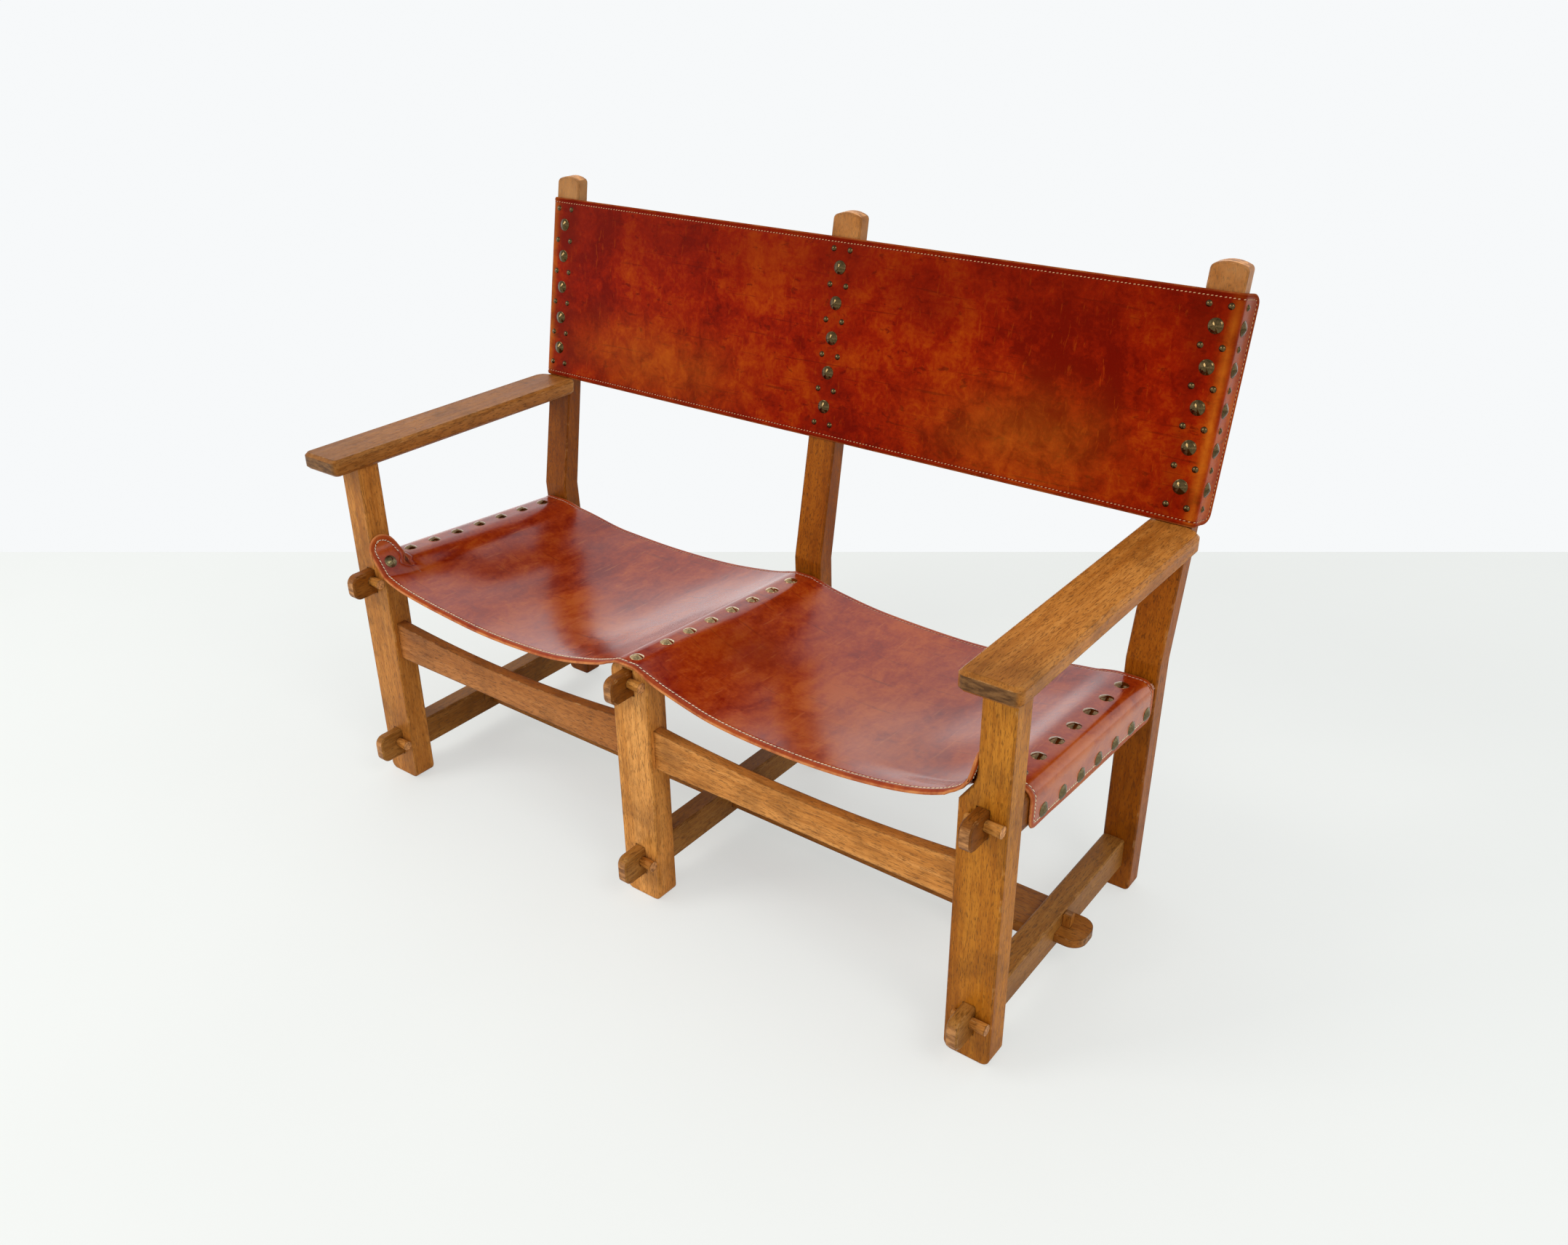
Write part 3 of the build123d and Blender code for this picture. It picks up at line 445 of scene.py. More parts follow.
# oak frame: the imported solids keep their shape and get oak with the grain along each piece

grainAlong = {
    "front_leg": "Z", "rear_post": "Z", "seat_rail": "Y", "side_stretcher": "Y", "long_stretcher": "X",
    "long_key": "Z", "front_rail": "X", "rear_rail": "X", "arm": "Y", "upper_peg": "X", "lower_peg": "X",
}
tints = {  # multiplied with the oak's colours; a whole name goes before its family
    "front_leg": (1.04, 0.95, 0.5), "front_leg_left": (1.15, 1.18, 1.5), "front_leg_middle": (1.5, 1.65, 2.4),
    "rear_post": (0.7, 0.48, 0.14), "rear_post_left": (0.52, 0.34, 0.14), "seat_rail": (0.5, 0.4, 0.3),
    "side_stretcher": (0.76, 0.84, 1.15), "long_stretcher": (0.8, 0.75, 0.8), "long_key": (0.9, 0.8, 0.7),
    "front_rail": (1.38, 1.45, 2.1), "front_rail_left": (0.88, 0.8, 1.15), "rear_rail": (0.36, 0.22, 0.12),
    "arm": (1.14, 1.12, 1.3), "arm_left": (0.8, 0.78, 1.0),
    "upper_peg": (1.25, 1.4, 2.0), "lower_peg": (1.05, 1.05, 1.3),
}
endTones = {  # of the end grain; 1 where nothing is given
    "rear_post": 2.6, "arm": 0.62, "upper_peg": 2.4, "lower_peg": 2.0, "side_stretcher": 1.6, "seat_rail": 1.6,
}
handledEnds = {
    "arm": {"axis": "Y", "along": (-0.16, -0.32), "share": 0.5, "colour": "pore", "uneven": (0.35, 0.6, 0.6, 1.0)},
    "rear_post": {"axis": "Z", "along": (0.925, 0.96), "share": 0.4, "colour": "worn",
                  "uneven": (0.35, 0.62, 1.0, 0.3)},
}

for number, (name, node) in enumerate(sorted(nodes.items())):
    for family, axis in grainAlong.items():
        if name.startswith(family):
            shift = (number * 1.37, number * 0.71, number * 2.13)
            tint = tints.get(name, tints[family])
            material = oakMaterial("oak_" + name, axis, shift, tint, endTones.get(family, 1.0),
                                   handledEnds.get(family))
            for holder in node.material_slots:
                holder.material = material
print("oak frame painted")


# seat leather

seat = {
    "legFront": -274.524, "depth": 455.0, "frontZ": 429.0, "fall": math.tan(math.radians(3.75)),
    "sag": (46.0, 51.0, 28.0), "bay": 600.0,  # sag at the front, middle and rear
    # shares of the bay, with the share of the sag reached there
    "shares": ((0.05, 0.12), (0.13, 0.46), (0.28, 0.86), (0.5, 1.0), (0.72, 0.82), (0.84, 0.62)),
    "onRail": 15.0, "slingHalf": 545.0, "endShare": 0.39, "endSlope": 0.36,
    "front": -282.3, "earBack": -216.6, "foldFront": -214.4, "back": 177.3, "slitRoot": 25.0,
    "flapDrop": 67.0, "flapRound": 16.0, "shortFlap": 6.0,
}
shoulder = {"angle": 55, "foot": (564.0, 422.0), "radius": 44.24, "centreZ": 470.22, "above": 40.0}
rail = {"inner": 588.0, "outer": 618.3, "round": 15.0, "side": 70.0}
hang = {
    "droopWidth": 9.0, "droopFront": 2.4, "droopRear": 1.6,  # borders bend down
    "taut": 0.25, "tautRear": 0.2, "tautFrom": 420.0, "tautTo": 540.0,  # straighter towards the outer rails
    "liftFrom": -222.0, "liftWidth": 40.0,  # the right ear stands off in front
    "rise": 13.0, "riseFrom": 380.0, "risePower": 1.6,  # and the bay rises under it
    "wave": 1.6, "nick": 13.0,
}
wornSeat = (((330, -170), (150, 110), 0.42), ((-260, -130), (170, 90), 0.2))
earStain = (((560, -232), (26, 30), 0.6),)
rightBayDark = (((85, -85), (60, 62), 0.6),)
hideHalf = 2.25  # half the thickness of the hides' body
airGap = 0.3  # between hide and wood
seatLook = {
    "thick": 0.0056, "body": 0.8, "round": 2.6, "rim": 8.4, "stitch": 10.0, "groove": 0.14, "dash": 1.0,
    "stops": (0.4, 0.5, 0.61), "rimShare": 0.45,
    "dark": (0.17, 0.006, 0.0006), "middle": (0.27, 0.024, 0.0015), "light": (0.37, 0.06, 0.004),
    "ridge": (0.49, 0.12, 0.014), "shade": (0.15, 0.012, 0.001), "rimColour": (0.33, 0.065, 0.012),
    "edge": (0.55, 0.2, 0.055), "rough": (0.1, 0.2), "specular": 0.5, "haze": (1.0, 1.0, 1.0),
    "patch": 7.0, "lie": (1.0, 0.6, 1.0), "shift": (3.1, 0.4, 0.0), "bump": 0.12, "relief": 0.5,
    "scratches": (((3, 70, 3), (0.1, 0.004, 0.001), 0.45), ((50, 4, 50), (0.42, 0.1, 0.02), 0.4)),
}


def seatPlane(y):
    return seat["frontZ"] - (y - seat["legFront"]) * seat["fall"]


def sagAt(y):
    t = (y - seat["legFront"]) / seat["depth"]
    front, middle, rear = seat["sag"]
    return front * (1 - t) * (1 - 2 * t) + middle * 4 * t * (1 - t) + rear * t * (2 * t - 1)


slingKnots = [(seat["onRail"], 0.0)]
slingKnots += [(seat["bay"] * share, depth) for share, depth in seat["shares"]]
slingKnots += [(seat["slingHalf"], seat["endShare"])]
slingSlopes = [0.0]
slingSlopes += [(d1 - d0) / (a1 - a0) for (a0, d0), (a1, d1) in zip(slingKnots, slingKnots[2:])]
slingSlopes += [-seat["endSlope"] / seat["sag"][0]]


def slingDepth(x):
    # share of the sag at a distance from the middle rail, smooth through the knots
    if x <= seat["onRail"]:
        return 0.0
    for k, ((a0, d0), (a1, d1)) in enumerate(zip(slingKnots, slingKnots[1:])):
        if x <= a1:
            run = a1 - a0
            return cubic((x - a0) / run, d0, d1, run * slingSlopes[k], run * slingSlopes[k + 1])
    return slingKnots[-1][1]


slitMiddle = (seat["earBack"] + seat["foldFront"]) / 2
seatLines = {}


def seatLine(y, ear):
    # middle of the leather from the edge of the sling, up the shoulder of the leg or over the rail
    key = (round(y, 3), ear)
    if key in seatLines:
        return seatLines[key]
    edge = (seat["slingHalf"], seatPlane(y) - seat["endShare"] * sagAt(y) + hideHalf)
    slope = seat["endSlope"] * sagAt(y) / seat["sag"][0]
    off = hideHalf + airGap
    if ear:
        angle = math.radians(shoulder["angle"])
        footX, footZ = shoulder["foot"]
        foot = (footX - off * math.sin(angle), footZ + off * math.cos(angle))
        centre = (rail["inner"] - shoulder["radius"], shoulder["centreZ"])
        radius = shoulder["radius"] - off
        line = curvedLine(edge, foot, slope, math.tan(angle))
        line += arcLine(centre, radius, shoulder["angle"] - 90, 0)
        line += [(centre[0] + radius, centre[1] + shoulder["above"])]
    else:
        top = seatPlane(y) + off
        radius = rail["round"] + hideHalf
        line = curvedLine(edge, (rail["inner"], top), slope, 0.0)
        line += [(rail["outer"], top)]
        line += arcLine((rail["outer"], top - radius), radius, 90, 0)[1:]
        line += [(rail["outer"] + radius, top - radius - rail["side"])]
    seatLines[key] = measured(line)
    return seatLines[key]


earOutline = [(-282.3, 62.0), (-280.5, 69.0), (-277.0, 76.5), (-272.0, 82.5), (-266.0, 86.2), (-259.0, 87.5),
              (-251.0, 86.2), (-243.0, 83.0), (-236.0, 78.0), (-230.0, 71.5), (-225.5, 63.5), (-222.5, 54.0),
              (-219.5, 42.0), (-216.6, 28.0)]  # place along Y, length up the leg
earRight = [(545.0, 426.3), (553.0, 430.6), (561.0, 435.6), (571.0, 444.2), (580.0, 458.0), (584.6, 474.0),
            (585.4, 488.0), (585.4, 520.0)]  # front line of the right ear, which stands off the leg
earRightLine = measured(earRight)


def fullLength(y, side=1):
    # how far the leather runs past the edge of the sling; the right flap is a little shorter
    if y <= slitMiddle:
        return float(np.interp(y, [p[0] for p in earOutline], [p[1] for p in earOutline]))
    toFlap = seatLine(y, False)[1][-2]
    full = toFlap + seat["flapDrop"] + airGap - rail["round"] - (seat["shortFlap"] if side > 0 else 0.0)
    return full - cornerCut(min(y - seat["foldFront"], seat["back"] - y), seat["flapRound"])


def seatPoint(across, y):
    # flat place to room, in metres; across runs to both sides of the middle
    side = 1 if across >= 0 else -1
    u = abs(across)
    past = u - seat["slingHalf"]
    inEar = y < slitMiddle
    lifted = smoothstep(hang["liftFrom"] - y, 0, hang["liftWidth"]) if side > 0 else 0.0
    width = hang["droopWidth"]
    droop = hang["droopFront"] * smoothstep(width - (y - seat["front"]), 0, width)
    droop += hang["droopRear"] * smoothstep(width - (seat["back"] - y), 0, width)
    top = seatPlane(y) + hideHalf + airGap
    taut = (hang["taut"] + hang["tautRear"] * smoothstep(y, 60, 177)) * smoothstep(y, -205, -90)
    taut *= smoothstep(u, hang["tautFrom"], hang["tautTo"])
    if past <= 0:
        z = seatPlane(y) + hideHalf - slingDepth(u) * sagAt(y)
        z += taut * (top - z)
        climbed = max(0.0, u - hang["riseFrom"]) / (seat["slingHalf"] - hang["riseFrom"])
        z += hang["rise"] * lifted * climbed ** hang["risePower"]
        loose = smoothstep(u, 40, 150) * smoothstep(-past, 10, 90)
        wave = noise.noise(Vector((across * 0.006, y * 0.007, 1.7))) * hang["wave"] * loose
        offRail = smoothstep(u, 34, 48)
        return Vector((side * u, y, z + wave - droop * offRail)) * 0.001
    x, z = alongLine(*seatLine(y, inEar), past)
    if inEar and lifted > 0:
        xr, zr = alongLine(*earRightLine, past)
        x, z = x + (xr - x) * lifted, z + (zr - z) * lifted
    # root of the slit, where ear and flap are one
    xo, zo = alongLine(*seatLine(y, not inEar), past)
    join = 0.5 * (1 - smoothstep(past, 22, 34)) * smoothstep(20 - abs(y - slitMiddle), 0, 20)
    x, z = x + (xo - x) * join, z + (zo - z) * join
    closed = 0.98 * (1 - smoothstep(past, 22, 30)) * max(0.0, 1 - abs(y - slitMiddle) / 3)
    moved = y + (slitMiddle - y) * closed
    nick = -hang["nick"] * hump(past, 28, 9)
    if inEar:
        moved += nick * smoothstep(y, -250, -217)
    else:
        moved += nick * (1 - smoothstep(past, 24, 34)) * (1 - smoothstep(y, -214, -185))
        if x < rail["inner"]:
            z += taut * max(0.0, top - z)
    return Vector((side * x, moved, z - droop * smoothstep(12 - past, 0, 12))) * 0.001


# rows and columns near an edge: their distances follow the rim and the stitch groove
borderSteps = [0.0, 0.4, 1.1, 2.4, 4.2, 6.0, 8.0, 9.5, 10.6, 11.5, 12.6, 15.0]
rowPlaces = [seat["front"] + s for s in borderSteps]
rowPlaces += list(np.linspace(seat["front"] + 18.5, seat["earBack"] - 18.5, 8))  # the ears
rowPlaces += [seat["earBack"] - s for s in reversed(borderSteps)]
slitRow = len(rowPlaces) - 1
rowPlaces += [seat["foldFront"] + s for s in borderSteps]
rowPlaces += list(np.linspace(seat["foldFront"] + 20.0, seat["back"] - 20.0, 44))
rowPlaces += [seat["back"] - s for s in reversed(borderSteps)]
slingColumns = [0, 8, 15, 20, 25, 30, 36, 43, 51, 60] + list(np.linspace(72, 540, 44)) + [seat["slingHalf"]]
sideColumns = list(np.linspace(0, 1, 26))[1:]
halfColumns = len(slingColumns) + len(sideColumns) + len(borderSteps) - 1  # on each side of the middle


def columnPlace(k, y, side):
    # flat distance from the middle of the k-th column
    if k < len(slingColumns):
        return slingColumns[k]
    k -= len(slingColumns)
    full = fullLength(y, side)
    inner = max(full - borderSteps[-1], full * 0.3)
    if k < len(sideColumns):
        return seat["slingHalf"] + inner * sideColumns[k]
    step = borderSteps[len(borderSteps) - 2 - (k - len(sideColumns))]
    return seat["slingHalf"] + full - step * (full - inner) / borderSteps[-1]


seatFlat = {}


def seatPlace(i, j):
    k = i - halfColumns
    across = math.copysign(columnPlace(abs(k), rowPlaces[j], k), k)
    seatFlat[(i, j)] = (across, rowPlaces[j])
    return seatPoint(across, rowPlaces[j])


seatSheet = layGrid("seat_hide", 2 * halfColumns, len(rowPlaces) - 1, seatPlace)
activate(seatSheet)
bpy.ops.object.mode_set(mode='EDIT')
work = bmesh.from_edit_mesh(seatSheet.data)
for face in work.faces:  # the slits between ears and flaps are open
    rows = {v.index // (2 * halfColumns + 1) for v in face.verts}
    inner = min(abs(v.co.x) for v in face.verts)
    face.select = rows == {slitRow, slitRow + 1} and inner > (seat["slingHalf"] - 0.01) * 0.001
bmesh.update_edit_mesh(seatSheet.data)
bpy.ops.mesh.delete(type='FACE')
bpy.ops.object.mode_set(mode='OBJECT')


def seatHalfLine(side):
    # flat outline of one half: front, ear, slit, side flap, back
    edge = seat["slingHalf"]
    root = edge + seat["slitRoot"]
    line = [(0.0, seat["front"]), (edge + earOutline[0][1], seat["front"])]
    line += [(edge + w, y) for y, w in earOutline]
    line += [(root, seat["earBack"]), (root, seat["foldFront"])]
    flapRows = roundedEdge(seat["foldFront"], seat["back"], seat["flapRound"])
    line += [(edge + fullLength(y, side), y) for y in flapRows]
    return line + [(0.0, seat["back"])]


seatOutline = seatHalfLine(1) + [(-u, y) for u, y in reversed(seatHalfLine(-1)[:-1])]


def finishSheet(piece, flat, outline, look, wearAndLightAt, shadeAt):
    # border weights for the thickness, and the attributes that the colour uses
    columns = max(i for i, j in flat)
    rows = max(j for i, j in flat)
    order = [flat[(n % (columns + 1), n // (columns + 1))] for n in range((columns + 1) * (rows + 1))]
    gaps = edgeDistance(outline, order)
    group = piece.vertex_groups.new(name="thick")
    for n, gap in enumerate(gaps):
        group.add([n], rimWeight(gap, look), 'REPLACE')
    for name, values in (("edgeGap", gaps), ("ridge", [wearAndLightAt(*p) for p in order]),
                         ("shade", [shadeAt(*p) for p in order])):
        layer = piece.data.attributes.new(name, 'FLOAT', 'POINT')
        layer.data.foreach_set("value", np.array(values, dtype=np.float32))
    applyModifier(piece, 'SOLIDIFY', "hide", thickness=look["thick"], offset=0.0, vertex_group="thick",
                  use_even_offset=False)
    activate(piece)
    bpy.ops.object.shade_smooth()
    print(piece.name, len(piece.data.polygons), "faces")


def seatWearAndLight(across, y):
    # rubbed lighter where people sit, and lighter up the ears; over the arc of the outer rail and down the side
    # flaps lighter by rubbing and by painted light
    past = abs(across) - seat["slingHalf"]
    wear = blots(across, y, wornSeat)
    if y < seat["earBack"]:
        return 0.25 * smoothstep(past, 30, 70) + wear
    # painted light from the arc of the outer rail down the side flap, with some rubbing
    return wear + 0.8 * smoothstep(past, 74, 96) * (0.55 + 0.45 * smoothstep(140 - past, 0, 40))


def seatShade(across, y):
    # old stains round the ears and the slit, and a darker patch in the right bay
    return min(1.0, blots(abs(across), y, earStain) + blots(across, y, rightBayDark))


finishSheet(seatSheet, seatFlat, seatOutline, seatLook, seatWearAndLight, seatShade)


# back leather

back = {
    "bendY": 180.476, "bendZ": 427.0, "rake": math.radians(11.2), "low": 213.5, "high": 538.9,
    "footX": 607.0, "lean": math.tan(math.radians(0.75)), "postHalf": 27.0, "foldRadius": 6.0, "reach": 49.0,
    "corner": 16.0, "flare": 5.0, "wave": 2.2, "puff": 0.36, "nailPitch": 80.0,
}
goldBack = (((-380, 275), (170, 60), 0.4), ((360, 280), (150, 75), 0.4))
darkBack = (((175, 450), (60, 40), 0.35),)
backLook = {
    "thick": 0.0056, "body": 0.8, "round": 2.6, "rim": 6.2, "stitch": 8.0, "groove": 0.14, "dash": 0.72,
    "stops": (0.43, 0.53, 0.65), "rimShare": 0.7,
    "dark": (0.13, 0.0015, 0.0002), "middle": (0.235, 0.0075, 0.0004), "light": (0.35, 0.04, 0.001),
    "ridge": (0.48, 0.13, 0.009), "shade": (0.1, 0.004, 0.0006), "rimColour": (0.14, 0.01, 0.001),
    "edge": (0.42, 0.13, 0.03), "rough": (0.28, 0.42), "specular": 0.1, "haze": (1.0, 0.28, 0.08),
    "patch": 4.6, "lie": (1.15, 1.15, 1.2), "shift": (0.0, 0.0, 0.0), "bump": 0.25, "relief": 1.0,
    "scratches": (((2.5, 2.5, 60), (0.1, 0.002, 0.0005), 0.6), ((60, 60, 2.5), (0.36, 0.05, 0.002), 0.35),
                  ((14, 14, 26), (0.09, 0.001, 0.0003), 0.7)),
}


def foldStart(up):
    # flat distance from the middle to where the leather turns round the outer post
    lean = (back["bendZ"] + up * math.cos(back["rake"])) * back["lean"]
    return back["footX"] + lean + back["postHalf"] + airGap + hideHalf - back["foldRadius"]


def backFull(up):
    # flat length from the middle to the edge of the side flap
    r = back["foldRadius"]
    full = foldStart(up) + r * math.pi / 2 + back["reach"] + hideHalf - r
    return full - cornerCut(min(up - back["low"], back["high"] - up), back["corner"])


def backPoint(across, up):
    # flat place to room, in metres; up runs along the rake from the bend of the posts
    side = 1 if across >= 0 else -1
    u = abs(across)
    r = back["foldRadius"]
    flat = foldStart(up)
    down = u - flat - r * math.pi / 2
    # depth behind the front of the posts, square to the rake
    if u <= flat:
        loose = smoothstep(u, 26, 90) * smoothstep(flat - u, 50, 110)
        wave = noise.noise(Vector((across * 0.004, up * 0.009, 5.3))) * back["wave"] * loose
        between = math.cos(math.pi * (up - back["low"]) / back["nailPitch"]) ** 2
        puff = back["puff"] * between * hump(flat - u, 30, 26)
        x, depth = u, -hideHalf + wave - puff
    elif down <= 0:
        angle = (u - flat) / r
        x, depth = flat + r * math.sin(angle), -hideHalf + r - r * math.cos(angle)
    else:
        x, depth = flat + r + back["flare"] * smoothstep(down, 20, 52), -hideHalf + r + down
    c, s = math.cos(back["rake"]), math.sin(back["rake"])
    return Vector((side * x, back["bendY"] + up * s + depth * c, back["bendZ"] + up * c - depth * s)) * 0.001


backRows = [back["low"] + s for s in borderSteps]
backRows += list(np.linspace(back["low"] + 19, back["high"] - 19, 40))
backRows += [back["high"] - s for s in reversed(borderSteps)]
flatColumns = list(np.linspace(0, 1, 62))
foldColumns = list(np.linspace(0, 1, 9))[1:]
reachColumns = list(np.linspace(0, 1, 8))[1:]
backHalf = len(flatColumns) + len(foldColumns) + len(reachColumns) + len(borderSteps) - 2
backFlat = {}


def backColumn(k, up):
    # flat distance from the middle of the k-th column
    flat = foldStart(up)
    turned = flat + back["foldRadius"] * math.pi / 2
    full = backFull(up)
    inner = full - borderSteps[-1]
    if k < len(flatColumns):
        return flat * flatColumns[k]
    k -= len(flatColumns)
    if k < len(foldColumns):
        return flat + (turned - flat) * foldColumns[k]
    k -= len(foldColumns)
    if k < len(reachColumns):
        return turned + (inner - turned) * reachColumns[k]
    step = borderSteps[len(borderSteps) - 2 - (k - len(reachColumns))]
    return full - step


def backPlace(i, j):
    k = i - backHalf
    across = math.copysign(backColumn(abs(k), backRows[j]), k)
    backFlat[(i, j)] = (across, backRows[j])
    return backPoint(across, backRows[j])


backSheet = layGrid("back_hide", 2 * backHalf, len(backRows) - 1, backPlace)
backSide = [(0.0, back["low"])]
backSide += [(backFull(v), v) for v in roundedEdge(back["low"], back["high"], back["corner"])]
backSide += [(0.0, back["high"])]
backOutline = backSide + [(-u, v) for u, v in reversed(backSide[:-1])]


def backWearAndLight(across, up):
    # the fold round each outer post is lighter, rubbed and with a painted highlight along its crest; the side
    # flaps are lighter; the lower part of both places is rubbed light
    past = abs(across) - foldStart(up)
    wander = noise.noise(Vector((up * 0.03, across * 0.01, 2.2)))
    # painted highlight along the crest of the fold, with the rubbing
    fold = 0.95 * (0.8 + 0.5 * wander) * hump(past, -1 - 3 * wander, 6.5)
    return min(1.0, fold + 0.5 * smoothstep(past, 4, 16) + blots(across, up, goldBack))


def backShade(across, up):
    # darker towards the top, over the posts and in an old patch
    dark = 0.35 * hump(abs(across), 600, 16) + 0.2 * hump(across, 0, 45)
    return min(0.8, dark + 0.42 * smoothstep(up, 390, 520) + blots(across, up, darkBack))


finishSheet(backSheet, backFlat, backOutline, backLook, backWearAndLight, backShade)

for sheetPiece, look, node, slotName in (
        (seatSheet, seatLook, "seat_leather", "seat_hide"), (backSheet, backLook, "back_leather", "back_hide")):
    sheetPiece.data.materials.clear()
    sheetPiece.data.materials.append(leatherMaterial(slotName, look))
    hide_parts(node)
    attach(sheetPiece, "root")


# saddle stitches along both sheets

stitch = {"pitch": 6.2, "long": 5.4, "thick": 1.35, "slant": 12.0}

bpy.ops.mesh.primitive_uv_sphere_add(segments=8, ring_count=6, radius=0.5, location=(0, 0, 0))
stitchModel = bpy.context.active_object
bpy.ops.object.mode_set(mode='EDIT')
bpy.ops.mesh.select_all(action='SELECT')
bpy.ops.transform.resize(value=(stitch["long"] * 0.001, stitch["thick"] * 0.001, stitch["thick"] * 0.0009))
bpy.ops.object.mode_set(mode='OBJECT')


def stitchPlaces(outline, look, point):
    # matrices of the stitches on the upper and the under side
    line = insetLine(outline, look["stitch"])
    places = []
    left = 0.0
    for (xa, ya), (xb, yb) in zip(line, line[1:] + line[:1]):
        length = math.hypot(xb - xa, yb - ya)
        if length > 4:  # the line was cut where it would fold over
            left = 0.0
            continue
        left += length
        if left < stitch["pitch"]:
            continue
        left -= stitch["pitch"]
        if look is seatLook and abs(ya - slitMiddle) < 15 and abs(xa) < 600:
            continue  # none round the root of the slit
        here = point(xa, ya)
        ahead = point(xb, yb) - here
        alongU = point(xa + 0.5, ya) - point(xa - 0.5, ya)
        alongV = point(xa, ya + 0.5) - point(xa, ya - 0.5)
        if ahead.length < 1e-7:
            continue
        normal = alongU.cross(alongV).normalized()
        lift = 0.5 * look["thick"] * (look["body"] - look["groove"]) + stitch["thick"] * 0.00022
        for face in (1, -1):
            matrix = standing(here + normal * lift * face, normal * face, ahead)
            matrix = matrix @ Matrix.Rotation(math.radians(stitch["slant"]), 4, 'Z')
            places.append(matrix @ Matrix.Diagonal((look["dash"], 1, 1, 1)))
    return places


knot = []  # frayed thread at the rear corner of the right flap
for k in range(9):
    spot = seatPoint(seat["slingHalf"] + 88 + 3.2 * (k % 3), seat["back"] - 4 - 1.6 * (k // 3))
    way = Vector((math.sin(k * 2.1), math.cos(k * 1.3), math.sin(k * 0.9)))
    knot.append(standing(spot + Vector((0.0036, 0.0004, 0.0022)), Vector((0.7, 0.2, 0.5)), way))
seatStitches = joinCopies("seat_stitches", stitchModel, stitchPlaces(seatOutline, seatLook, seatPoint) + knot)
backStitches = joinCopies("back_stitches", stitchModel, stitchPlaces(backOutline, backLook, backPoint))
bpy.data.objects.remove(stitchModel)
seatStitches.data.materials.append(threadMaterial("cream_thread", (0.9, 0.78, 0.52), 0.8))
backStitches.data.materials.append(threadMaterial("pale_thread", (0.62, 0.34, 0.16), 0.0))
for piece, slotName in ((seatStitches, "seat_hide"), (backStitches, "back_hide")):
    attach(piece, "root")
print("stitches placed")


# nail heads: turned domes with a blunt peak, one model of each size, copied to the places of the solids

heads = {
    "large": {"radius": 11.0, "height": 5.2, "profile": (
        (0.0, 1.0), (0.1, 0.975), (0.2, 0.9), (0.36, 0.79), (0.54, 0.65), (0.7, 0.49), (0.82, 0.34),
        (0.9, 0.22), (0.95, 0.16), (1.0, 0.13), (1.0, 0.0), (0.93, -0.02))},
    "small": {"radius": 4.9, "height": 3.1, "profile": (
        (0.0, 1.0), (0.15, 0.97), (0.4, 0.86), (0.62, 0.68), (0.8, 0.46), (0.93, 0.22), (1.0, 0.1), (1.0, 0.0),
        (0.9, -0.02))},
}


def nailModel(look, turns):
    # a profile spun round its axis
    mesh = bpy.data.meshes.new("nail")
    piece = bpy.data.objects.new("nail", mesh)
    bpy.context.scene.collection.objects.link(piece)
    line = [(r * look["radius"] * 0.001, 0, h * look["height"] * 0.001) for r, h in look["profile"]]
    mesh.from_pydata(line, [(k, k + 1) for k in range(len(line) - 1)], [])
    activate(piece)
    bpy.ops.object.mode_set(mode='EDIT')
    bpy.ops.mesh.select_all(action='SELECT')
    bpy.ops.mesh.spin(steps=turns, angle=math.radians(360), center=(0, 0, 0), axis=(0, 0, 1))
    bpy.ops.mesh.select_all(action='SELECT')
    bpy.ops.mesh.remove_doubles(threshold=0.00001)
    bpy.ops.mesh.normals_make_consistent(inside=False)
    bpy.ops.object.mode_set(mode='OBJECT')
    return piece


def headPlaces(node):
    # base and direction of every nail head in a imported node
    work = bmesh.new()
    work.from_mesh(nodes[node].data)
    bmesh.ops.remove_doubles(work, verts=work.verts, dist=0.00001)
    found = set()
    places = []
    for first in work.verts:  # in their order, so that every run gives the same
        if first in found:
            continue
        found.add(first)
        group = [first]
        for vert in group:
            others = [edge.other_vert(vert) for edge in vert.link_edges]
            group += [other for other in others if other not in found]
            found.update(others)
        points = [v.co.copy() for v in group]
        middle = sum(points, Vector()) / len(points)
        rim = 0.93 * max((p - middle).length for p in points)
        base = [p for p in points if (p - middle).length > rim]
        inner = [p for p in points if (p - middle).length <= rim]
        foot = sum(base, Vector()) / len(base)
        places.append((foot, (sum(inner, Vector()) / len(inner) - foot).normalized()))
    work.free()
    return places


headSink = 0.0002  # set a little into the hide
seatZones = (("side", 0.54, 0.58), ("rail", 0.58, 0.628), ("side", 0.628, 0.7))  # ears, outer rails, side flaps


def placeHeads(name, node, model, materials, zones=()):
    # each head turned a little differently; a zone gives the kind by the distance from the middle
    kinds = {}
    for number, (foot, normal) in enumerate(headPlaces(node)):
        wobble = Vector((noise.noise(foot * 90), noise.noise(foot * 90 + Vector((7, 0, 0))), 0)) * 0.05
        matrix = standing(foot - normal * headSink, normal + wobble, Vector((0.3, 0.9, 0.2)))
        matrix = matrix @ Matrix.Rotation(number * 2.4, 4, 'Z')
        kind = "top"
        for zone, low, high in zones:
            if low < abs(foot.x) < high:
                kind = zone
        if zones and foot.x > zones[-1][1]:  # the right flap is shorter, so its heads sit higher
            matrix = Matrix.Translation((0, 0, seat["shortFlap"] * 0.001)) @ matrix
        kinds.setdefault(kind, []).append(matrix)
    for kind, matrices in sorted(kinds.items()):
        piece = joinCopies(name + "_" + kind, model, matrices)
        piece.data.materials.append(materials[kind])
        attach(piece, "root")
    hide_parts(node)


